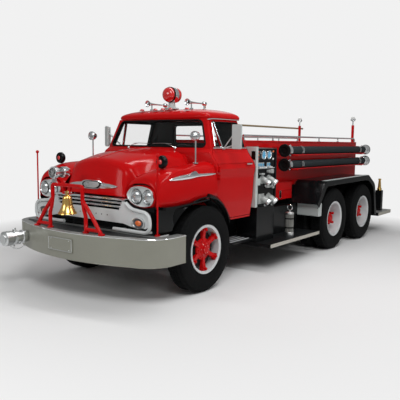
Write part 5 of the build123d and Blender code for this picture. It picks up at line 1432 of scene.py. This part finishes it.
# ---------------------------------------------------------- roof and its fittings
ROOF = [  # height, half width, front at the middle and at the sides, rear, reach of the corners
    (2004, 747, 344, 386, 1122, 100), (2012, 756, 334, 378, 1132, 104),
    (2034, 765, 326, 370, 1140, 110), (2064, 754, 334, 382, 1134, 120),
    (2090, 720, 368, 424, 1112, 140), (2113, 658, 432, 492, 1074, 160),
    (2132, 560, 522, 577, 1016, 180), (2144, 430, 612, 662, 936, 180),
    (2149, 300, 692, 722, 876, 150)]
BEACON = (0, 610, 2336)
MARKER_TALL = 0.1               # roof lamps lower than this are markers
DOME_STRETCH = Matrix.Diagonal((1.05, 0.9, 0.95, 1.0))
LENS_FRONT = [(0, -128), (40, -123), (70, -110), (88, -88), (95, -58), (95, -36), (0, -36)]
LENS_REAR = [(0, 36), (98, 36), (101, 62), (95, 90), (72, 116), (40, 127), (0, 130)]
HORN = [(0, 62), (8, 60), (12, 46), (22, 26), (36, 6), (42, 1), (44, 1), (44.5, 4), (42, 12),
        (24, 46), (14, 110), (10, 200), (9, 330), (20, 336), (26, 342), (26, 388), (20, 396),
        (0, 397)]


def plan_ring(z, half, middle, side, rear, corner):
    """Plan outline at one height: bowed front, straight sides and rounded corners."""
    front = [Vector((half * t, middle + (side - middle) * t * t))
             for t in (-1, -0.6, -0.2, 0.2, 0.6, 1)]
    loop = rounded([*front, Vector((half, rear)), Vector((-half, rear))], corner, 5, True)
    return [at(p.x, p.y, z) for p in loop]


class OBJECT_OT_engine_roof(bpy.types.Operator):
    """Crowned roof with its lining, the beacon, marker lamps and air horns"""
    bl_idname = "object.engine_roof"
    bl_label = "Roof"

    def execute(self, context):
        skin = Form("roof_skin").hull([plan_ring(*row) for row in smoothed(ROOF, 3)], "red enamel")
        skin.hull([plan_ring(z, 738, 352, 394, 1112, 105) for z in (1999, 2004.5)], "cab lining")
        skin.made("red_paint", ("cab_roof",), 40)
        lamps = part_boxes("roof_lamps")
        self.beacon(min(low.z for low, high in lamps if high.z - low.z > MARKER_TALL))
        markers = Form("roof_markers")
        dome = Form("dome").lathe([(28, 0), (27.5, 10), (22, 18), (12, 22), (0, 23)], (0, 0, 0), Z,
                                  "red lens", 24).mesh()
        for low, high in lamps:
            if high.z - low.z < MARKER_TALL:
                centre = (low + high) / 2
                centre.z = low.z + 0.007
                markers.block(low, (high.x, high.y, centre.z), "soft chrome", 3)
                markers.absorb(dome, Matrix.Translation(centre) @ DOME_STRETCH)
        markers.made("lamp_red")
        self.horns()
        return {"FINISHED"}

    def beacon(self, base):
        """Long lamp with a lens at each end of a chrome band, on a bolted foot."""
        form, centre = Form("roof_beacon"), at(*BEACON)
        foot, top = Vector((centre.x, centre.y, base)), (centre.z - base) / MM
        form.turned(centre, Y,
                    ("red lens", 48, LENS_FRONT), ("red lens", 48, LENS_REAR),
                    ("chrome", 48, [(0, -34), (100, -34), (102, -26), (102, 30), (100, 36),
                                    (0, 36)]),
                    ("black rubber", -48, [(93.5, -56), (100, -54), (102, -46), (102, -34),
                                           (93.5, -34)]))
        form.lathe([(0, 0), (95, 0), (95, 12), (50, 24), (42, top - 90), (50, top - 80),
                    (0, top - 80)], foot, Z, "panel grey", 40)
        form.bolts(6, 78, 14, 7, foot + Z * 0.012, Z, "chrome")
        form.made("lamp_red", ("roof_lamps",), 30)

    def horns(self):
        form = Form("horn_trumpets")
        for x in (342, -342):
            mouth = at(x, 505, 2226)
            # A black disc in the throat of each horn is painted shade that stands for the dark
            # opening.
            form.turned(mouth, Y, ("chrome", 36, HORN),
                        ("black rubber", 24, [(0, 40), (14, 40), (15, 38)]))
            for y in (595, 865):
                form.block(at(x - 24, y - 14, 2128), at(x + 24, y + 14, 2156), "chrome", 3)
                form.block(at(x - 8, y - 6, 2152), at(x + 8, y + 6, 2222), "chrome")
            form.rod(mouth + mm(0, 385, -20), mouth + mm(0, 392, -60), 6, "brass", 8)
        form.made("chrome", ("air_horns",))


# ---------------------------------------------------------- cab interior
COLUMN_TILT, COLUMN_TOP = radians(35), at(380, 560, 1560)
CHANNELS, CUSHION_SIDES = 9, 28


def cushion(name, low, high, crown):
    """Crowned pad between two corners: its ends pull in and sewn channels cross it."""
    middle, half, rings = (low + high) / 2, (high - low) / 2, []
    stations = CHANNELS * 8
    for u in (2 * step / stations - 1 for step in range(stations + 1)):
        end = (1 - min(0.999, abs(u)) ** 14) ** 0.4
        pull = 1 - 0.06 * (1 - abs(sin(pi * CHANNELS * (u + 1) / 2)) ** 0.5)
        ring = []
        for a in circle(CUSHION_SIDES):
            d, h = [abs(way) ** 0.35 * (1 if way > 0 else -1) for way in (cos(a), sin(a))]
            swell = crown * (1 - d * d) * (1 - u ** 4) if h > 0 else 0.0
            ring.append(middle + Vector((half.x * u, half.y * d * end * pull,
                                         (half.z * h + swell) * end * pull)))
        rings.append(ring)
    form = Form(name).hull(rings, "vinyl")
    return form.tube([ring[CUSHION_SIDES // 2 + 5] for ring in rings[2:-2]], 5, "black rubber", 6)


class OBJECT_OT_engine_interior(bpy.types.Operator):
    """Bench seat with crowned cushions, dash with its dials, and the steering wheel"""
    bl_idname = "object.engine_interior"
    bl_label = "Cab interior"

    def execute(self, context):
        seat = cushion("seat_cushion", at(-768, 672, 1142), at(768, 1000, 1272), 0.016)
        seat.made("seat_vinyl", ("cab_seat",), 50)
        back = cushion("seat_back", at(-768, 1000, 1276), at(768, 1108, 1652), 0.006)
        back.made("seat_vinyl", (), 50)
        base = Form("seat_base").block(at(-740, 700, 909), at(740, 1100, 1142), "black enamel", 6)
        base.made("black_paint")
        dressed("dashboard", "black enamel", 4)
        dash = Form("dash_dials")
        for x in (315, 445):
            spot = at(x, 430, 1555)
            dash.turned(spot, Y, ("chrome", -32, [(44, 0), (44, 6), (48, 9), (52, 5), (52, 0)]),
                        ("dial white", 32, [(44, -2), (44, 2), (0, 2)]))
            dash.rod(spot + mm(0, 4, 0), spot + mm(20, 4, 25), 1.5, "black rubber", 6)
        for x in range(-180, 181, 60):
            dash.rod(at(x, 429, 1510), at(x, 452, 1510), (6, 11), "chrome", 12)
        dash.block(at(-700, 429, 1500), at(-330, 434, 1600), "black enamel", 4)
        dash.made()
        dressed("steering_wheel", "wheel black", 2, 40, body="steering_wheel")
        axis = Vector((0, sin(COLUMN_TILT), cos(COLUMN_TILT)))
        button = Form("horn_button").lathe([(34, 0), (34, 5), (24, 12), (0, 14)],
                                           COLUMN_TOP + axis * 0.022, axis, "chrome", 28)
        button.made(body="steering_wheel")
        return {"FINISHED"}


# ---------------------------------------------------------- pump
PANEL_X = 918                                       # face of the recessed panel
OUTLETS = ((1225, 50), (965, 58))                   # height and pipe radius
GATES = (1305, 1352, 1399, 1446, 1560, 1607)        # valve gates along the panel
PILOTS = ((1310, 1602, "red lens"), (1310, 1556, "amber lens"), (1310, 1510, "red lens"),
          (1705, 1604, "amber lens"), (1705, 1500, "dial white"))
PLATES = (  # y and z ranges, depth and finish of the small plates and castings on the panel
    (1285, 1748, 1372, 1384, 12, "panel grey"), (1290, 1375, 1150, 1245, 10, "panel grey"),
    (1283, 1303, 900, 1120, 14, "panel grey"), (1330, 1475, 895, 1035, 12, "cast alloy"),
    (1350, 1430, 1292, 1314, 44, "cast alloy"), (1540, 1580, 1318, 1352, 40, "cast alloy"),
    (1590, 1660, 1308, 1362, 52, "cast alloy"), (1520, 1690, 1108, 1140, 26, "cast alloy"),
    (1690, 1740, 1090, 1125, 22, "panel grey"), (1545, 1575, 885, 925, 34, "cast alloy"))
PUMP_FRONT = at(0, 1253, 0).y                       # rear of the grey bulkhead


def house_rule(spot, n, low, high):
    if n.z > 0.9 and spot.z > 1.6:
        return "tread plate"
    return "panel grey" if spot.y < PUMP_FRONT else "black enamel"


class OBJECT_OT_engine_pump(bpy.types.Operator):
    """Pump house with its grey bulkhead, outlets, gauges, valve gates and pilot lamps"""
    bl_idname = "object.engine_pump"
    bl_label = "Pump"

    def execute(self, context):
        dressed("pump_module", house_rule, 3)
        for side, sign in SIDES:
            form, out = Form(f"{side}_pump_panel"), X * sign
            for y0, y1, z0, z1, depth, finish in PLATES:
                form.block(at(sign * PANEL_X, y0, z0), at(sign * (PANEL_X + depth), y1, z1),
                           finish, 4)
            for y, z, finish in PILOTS:
                form.turned(at(sign * PANEL_X, y, z), out,
                            (finish, 20, [(13, 0), (13, 8), (9, 14), (0, 16)]),
                            ("chrome", -20, [(13.5, 0), (13.5, 5), (17, 5), (18, 0)]))
            for y in (1430, 1572):
                self.gauge(form, at(sign * PANEL_X, y, 1560), out)
            for y in GATES:
                self.gate(form, sign, y)
            for z, radius in OUTLETS:
                for y in (1420, 1600):
                    self.outlet(form, at(sign * PANEL_X, y, z), out, radius)
            form.block(at(sign * 890, 1187, 1500), at(sign * 948, 1195, 1612), "black enamel", 3)
            form.rod(at(sign * 925, 1187, 1475), at(sign * 925, 1180, 1440), 10, "soft chrome")
            form.made("chrome", ("pump_fittings",) * (sign > 0))
        return {"FINISHED"}

    def gauge(self, form, spot, out):
        """Deep-ringed blue dial with ticks and a hand."""
        form.turned(spot, out,
                    ("chrome", -48, [(49, 0), (49, 20), (53, 27), (59, 26), (62, 18), (62, 0)]),
                    ("black rubber", 40, [(50, 10), (50, 16.5), (46, 17), (0, 17)]),
                    ("dial blue", 40, [(46, 16), (46, 18.5), (0, 18.5)]))
        form.lugs(16, (30, -1, 0), (39, 1, 1.2), spot + out * 0.0182, out, "dial white", 0.2)
        hub = spot + out * 0.0195
        form.rod(hub, hub + mm(0, -22, 20), 1.2, "dial white", 6)

    def gate(self, form, sign, y):
        """Framed quadrant plate with a lever and a ball grip."""
        def near(out, along, z):
            return at(sign * (PANEL_X + out), y + along, z)
        form.block(near(0, -20, 1390), near(6, 20, 1456), "panel grey", 3)
        form.block(near(6, -13, 1402), near(9, 13, 1446), "dial blue")
        pivot, tip = near(8, 0, 1412), near(46, 0, 1392)
        form.rod(pivot, tip, 5, "soft chrome", 8)
        form.lathe([(0, -12), (8, -9), (12, 0), (8, 9), (0, 12)], tip, tip - pivot, "dial white",
                   14)

    def outlet(self, form, root, out, r):
        """Flanged elbow turned down and back, closed by a lugged cap."""
        down, knee = Vector((out.x * 0.66, 0.33, -0.675)).normalized(), root + out * 0.042
        mouth = knee + down * 0.05
        form.lathe([(0, 0), (r + 10, 0), (r + 10, 10), (r - 4, 14), (0, 14)], root, out,
                   "cast alloy", 36)
        form.bolts(8, r + 2, 12, 7, root + out * 0.01, out, "chrome")
        form.tube(rounded([root, knee, knee + down * 0.06], 0.04, 6), r - 10, "cast alloy", 28)
        form.lathe([(0, 0), (r, 0), (r + 3, 6), (r + 3, 34), (r - 6, 42), (20, 46), (0, 46)],
                   mouth, down, "soft chrome", 36)
        form.lugs(3, (r, -7, 8), (r + 14, 7, 30), mouth, down, "soft chrome", 3)


# ---------------------------------------------------------- tank body, rails and pole
BEADS = ((651, 1740, 1300, 5440), (651, 1664, 1815, 5440), (651, 1138, 1815, 5440),
         (706, 1010, 1815, 2690), (706, 872, 1815, 2690))           # x, height and ends
HOSE_BED_FRONT = at(0, 1849, 0).y
RAIL_X, RAIL_Y, POLE_X, POLE_Z = 540, 5466, -615.3, 2030


def body_rule(spot, n, low, high):
    """Aluminium inside the hose bed, the narrow block below painted black as shade, enamel
    elsewhere.
    """
    if spot.z > 1.299 and abs(spot.x) < 0.5905 and (
            n.z > 0.9 and spot.z < 1.31 or n.x * spot.x < -0.1 or abs(n.y) > 0.9):
        return "aluminium" if spot.y > HOSE_BED_FRONT else "red enamel"
    # The narrow block under the body, between the skirt and the tandem fenders, is painted black as
    # shade.
    return "chassis black" if abs(spot.x) < 0.5605 and spot.z < 1.065 else "red enamel"


class OBJECT_OT_engine_body(bpy.types.Operator):
    """Tank body with its beads and latches, hand rails, lamp posts and the pike pole"""
    bl_idname = "object.engine_body"
    bl_label = "Body"

    def execute(self, context):
        dressed("tank_body", body_rule, 4)
        dressed("body_rails", lambda spot, n, low, high: (
            "red enamel" if high.z > 2.1 and spot.z < 2.0855 else "chrome"), 1.5, 40)
        dressed("ladder_pole",
                lambda spot, *rest: "timber" if spot.z > 2.0105 else "chrome", 1, 40)
        form = Form("body_trim")
        for side, sign in SIDES:
            for x, z, y0, y1 in BEADS:
                run = [at(sign * x, y, z) for y in (y0, (y0 + y1) / 2, y1)]
                form.tube(run, 6, "red enamel", 10)
            self.latch(form, sign)
            form.rod(at(sign * RAIL_X, RAIL_Y, 1180), at(sign * RAIL_X, RAIL_Y, 1690), 12,
                     "chrome")
            for z in (1200, 1670):
                form.rod(at(sign * RAIL_X, 5449, z), at(sign * RAIL_X, RAIL_Y, z), 9, "chrome")
            form.turned(at(sign * 590, 5450, 1110), Y,
                        ("red lens", 32, [(50, 0), (50, 12), (40, 20), (0, 24)]),
                        ("chrome", -32, [(51, 0), (51, 8), (57, 8), (60, 0)]))
            form.turned(at(sign * 578, 5426, 2155), Z,
                        ("dial white", 32, [(40, 52), (42.5, 64), (37, 80), (20, 90), (0, 93)]))
        for y in (1300, 5610):
            form.rod(at(POLE_X, y, POLE_Z), at(POLE_X, y + 30, POLE_Z), 18.5, "soft chrome")
        hatch = oblong(at(0, 5452, 1380), mm(430, 0, 0), mm(0, 0, 260), 0.04, 5)
        form.tube(hatch, 5, "red enamel", 8, True)
        form.tube(rounded([at(0, y, z) for y, z in ((5450, 1330), (5480, 1330), (5480, 1430),
                                                    (5450, 1430))], 0.02), 7, "chrome", 10)
        form.made("red_paint")
        return {"FINISHED"}

    def latch(self, form, sign):
        """Recessed paddle latch on the skirt."""
        spot = at(sign * 705, 2330, 945)
        for grow, depth, finish in ((6, 4, "soft chrome"), (0, 6, "black enamel")):
            form.prism(oblong(spot, mm(0, 26 + grow, 0), mm(0, 0, 52 + grow), 0.024, 6),
                       mm(sign * depth, 0, 0), finish)
        form.rod(spot + mm(sign * 8, -14, 30), spot + mm(sign * 8, 14, 30), 4, "chrome", 8)


# ---------------------------------------------------------- suction hoses
HOSE_X, HOSE_FRONT, HOSE_LENGTH, COUPLING_LENGTH = 820, 2205, 3315, 160


class OBJECT_OT_engine_hoses(bpy.types.Operator):
    """Ribbed suction hoses with flared couplings, held by bright straps"""
    bl_idname = "object.engine_hoses"
    bl_label = "Suction hoses"

    def execute(self, context):
        count = sizes().hose_ribs
        pitch = (HOSE_LENGTH - 2 * COUPLING_LENGTH) / count
        rib = Form("rib").lathe([(58, -0.36 * pitch), (64, 0), (58, 0.36 * pitch)], (0, 0, 0), Z,
                                "hose rubber", 24)
        ribs, straps = repeated(rib, "hose rubber", count, mm(0, 0, pitch)), Form("hose_straps")
        for side, sign in SIDES:
            form = Form(f"{side}_suction_hoses")
            for z in (1400, 1612):
                start = at(sign * HOSE_X, HOSE_FRONT, z)
                end = HOSE_LENGTH - 100
                form.lathe([(0, 100), (58.5, 100), (58.5, end), (0, end)], start, Y,
                           "hose rubber", 24)
                form.absorb(ribs, facing(start + mm(0, COUPLING_LENGTH + pitch / 2, 0), Y))
                self.coupling(form, start, Y)
                self.coupling(form, start + mm(0, HOSE_LENGTH, 0), -Y)
                for y in (2695, 2735, 5075, 5115):
                    straps.turned(at(sign * HOSE_X, y, z), Y,
                                  ("chrome", -36, [(65.5, -9), (65.5, 9), (70, 9), (70, -9)]))
                for y in (2715, 5095):
                    straps.block(at(sign * 649, y - 10, z + 30), at(sign * 768, y + 10, z + 34),
                                 "chrome")
            form.made("hose_rubber", ("suction_hoses",) * (sign > 0))
        straps.made()
        return {"FINISHED"}

    def coupling(self, form, place, way):
        # Black rubber: the gasket ring at the mouth, and inside it a recessed black disc that is
        # painted shade and stands for the dark bore of the hose.
        form.turned(place, way,
                    ("black rubber", 36, [(0, 22), (50, 21), (59, 0), (91, 0), (96, 6), (96, 26),
                                          (0, 34)]),
                    ("chrome", 36, [(60, 26), (94.5, 26), (92, 42), (81, 64), (78, 80), (78, 145),
                                    (66, 160), (50, 160)]))
        form.lugs(3, (76, -8, 95), (94, 8, 125), place, way, "chrome", 4)


# ---------------------------------------------------------- rear fenders, boards and boxes
FENDER_BEAD = ((2656, 735), (2958, 1062), (4772, 1080), (5060, 925), (5176, 404))
FENDER_STRIP = ((1092, 2946, 1140), (1178, 2946, 1140), (1178, 4778, 1160), (1092, 4778, 1160))
TAIL_FRONT, TAIL_LAMP = at(0, 5600, 0).y, at(0, 5930.5, 0).y
EXTINGUISHER_FOOT = at(1050, 2000, 385.3)


def board_rule(spot, n, low, high):
    """Dark tread on top and black below; on the long boards the outer and rear edges are painted
    light as lit sides, the front edges black as painted shade.
    """
    if high.z > 0.39 or high.x - low.x < 0.3:
        return "dark tread" if n.z > 0.9 and high.z < 0.5 else "black enamel"
    if n.z > 0.9:
        return "dark tread"
    # Light paint on the outer and rear edges stands for their lit sides; the front edges take black
    # as painted shade.
    return "board edge" if abs(spot.x) > 1.17 or n.y > 0.9 else "chassis black"


def tail_rule(spot, n, low, high):
    if n.z > 0.9 and spot.z < 0.4:
        return "tread plate"
    # The step's rear faces take the light edge paint, which stands for lit sides; the rest is black.
    return "board edge" if spot.y > TAIL_FRONT and spot.z < 0.4 else "chassis black"


def fitting_rule(spot, n, low, high):
    return "brass" if low.z > 0.79 else "red lens" if spot.y > TAIL_LAMP else "black enamel"


class OBJECT_OT_engine_boards(bpy.types.Operator):
    """Tandem fenders, running boards, boxes, the extinguisher, tailboard and its fittings"""
    bl_idname = "object.engine_boards"
    bl_label = "Boards and fenders"

    def execute(self, context):
        dressed("tandem_fenders", "black enamel", 4, 40)
        dressed("running_boards", board_rule, 3)
        dressed("step_boxes",
                lambda spot, *rest: "chassis black" if abs(spot.x) < 0.75 else "panel grey", 4)
        dressed("tailboard", tail_rule, 3)
        dressed("tail_fittings", fitting_rule, 2)
        trim = Form("board_trim")
        for side, sign in SIDES:
            # Tread bars on the cab step: metal bars whose light silver paint is partly a painted
            # glint.
            for x in (672, 742, 812, 882):
                trim.block(at(sign * (x - 11), 725, 449), at(sign * (x + 11), 1165, 456),
                           "wheel silver")
            bead = rounded([at(sign * 1174, y, z) for y, z in FENDER_BEAD], 0.16, 8)
            trim.tube(bead, 5, "black enamel", 8)
            spot = at(sign * 1005, 5930.5, 560)
            ring = oblong(spot, mm(sign * 36, 0, 0), mm(0, 0, 36), 0.036, 6)
            trim.tube(ring, 4, "chrome", 8, True)
            for z, r in ((846, 37), (1000, 24), (1024, 29)):
                spot = at(sign * 1005, 5880, z)
                trim.lathe([(r - 4, -4), (r, 0), (r - 4, 4)], spot, Z, "brass", 28)
            strip = [at(sign * x, y, z) for x, y, z in FENDER_STRIP]
            trim.prism(strip, mm(0, 0, 2.5), "panel grey")
        trim.made()
        self.extinguisher()
        return {"FINISHED"}

    def extinguisher(self):
        """Fluted cylinder with turned collars, a cap and a ring handle, strapped to the board."""
        form, base = Form("extinguisher_can"), EXTINGUISHER_FOOT

        def ring(z, flute, radius):
            return [base + mm(r * cos(a), r * sin(a), z) for a, r in (
                (a, radius + flute * abs(cos(8 * a))) for a in circle(96))]
        form.hull([ring(50, 0, 50), ring(60, 8, 52), ring(320, 8, 52), ring(330, 0, 50)],
                  "dull steel")
        form.turned(base, Z,
                    ("aluminium", 48, [(0, 0), (62, 0), (64, 4), (64, 58), (60, 64), (0, 64)]),
                    ("aluminium", 48, [(0, 322), (61, 322), (61, 346), (56, 352), (20, 356),
                                       (13, 360), (12, 386), (0, 386)]))
        for z in (130, 260):
            form.lathe([(60.5, -8), (60.5, 8), (62.5, 8), (62.5, -8)], base + mm(0, 0, z), Z,
                       "black rubber", 40, True)
        loop = [base + mm(38 * cos(a), 0, 418 + 38 * sin(a)) for a in circle(28)]
        form.tube(loop, 6.2, "chrome", 10, True)
        form.made("chrome", ("extinguisher",), 30)


# ---------------------------------------------------------- chassis
PLAIN = {"chassis black": ("frame_rails", "front_axle", "rear_axles", "tie_rod", "left_knuckle",
                           "right_knuckle"), "engine grey": ("engine_block", "exhaust")}


class OBJECT_OT_engine_chassis(bpy.types.Operator):
    """Finishes of the frame, axles, engine and steering, and the rivets along the rails"""
    bl_idname = "object.engine_chassis"
    bl_label = "Chassis"

    def execute(self, context):
        for finish, nodes in PLAIN.items():
            for node in nodes:
                recoat(node, finish)
        form, row = Form("rail_rivets"), repeated(rivet(9), "chassis black", 50, X * 0.12)
        for start, sign in ((5180, 1), (-700, -1)):
            for z in (635, 765):
                form.absorb(row, facing(at(sign * 450, start, z), X * sign, -Z))
        form.made("chassis_black")
        return {"FINISHED"}


# ---------------------------------------------------------- panel
class VIEW3D_PT_engine(bpy.types.Panel):
    """Settings and steps of the fire engine's dressing"""
    bl_idname = "VIEW3D_PT_engine"
    bl_label = "Fire Engine"
    bl_space_type = "VIEW_3D"
    bl_region_type = "UI"
    bl_category = "Fire Engine"

    def draw(self, context):
        for group in (paint_colours(), sizes()):
            for name in group.__annotations__:
                self.layout.prop(group, name)
        for step in STEPS:
            self.layout.operator(step)


# ---------------------------------------------------------- main
OPERATORS = (SCENE_OT_engine_stage, OBJECT_OT_engine_wheels, OBJECT_OT_engine_bumper,
             OBJECT_OT_engine_bell, OBJECT_OT_engine_grille, OBJECT_OT_engine_hood,
             OBJECT_OT_engine_cab, OBJECT_OT_engine_roof, OBJECT_OT_engine_interior,
             OBJECT_OT_engine_pump, OBJECT_OT_engine_body, OBJECT_OT_engine_hoses,
             OBJECT_OT_engine_boards, OBJECT_OT_engine_chassis)
CLASSES = (EnginePaint, EngineSizes, *OPERATORS, VIEW3D_PT_engine)
STEPS = tuple(operator.bl_idname for operator in OPERATORS)


def register():
    for cls in CLASSES:
        bpy.utils.register_class(cls)
    bpy.types.Scene.engine_paint = bpy.props.PointerProperty(type=EnginePaint)
    bpy.types.Scene.engine_sizes = bpy.props.PointerProperty(type=EngineSizes)


def unregister():
    del bpy.types.Scene.engine_paint, bpy.types.Scene.engine_sizes
    for cls in reversed(CLASSES):
        bpy.utils.unregister_class(cls)


def main():
    register()
    for step in STEPS:
        group, name = step.split(".")
        getattr(getattr(bpy.ops, group), name)()


if __name__ == "__main__":
    main()
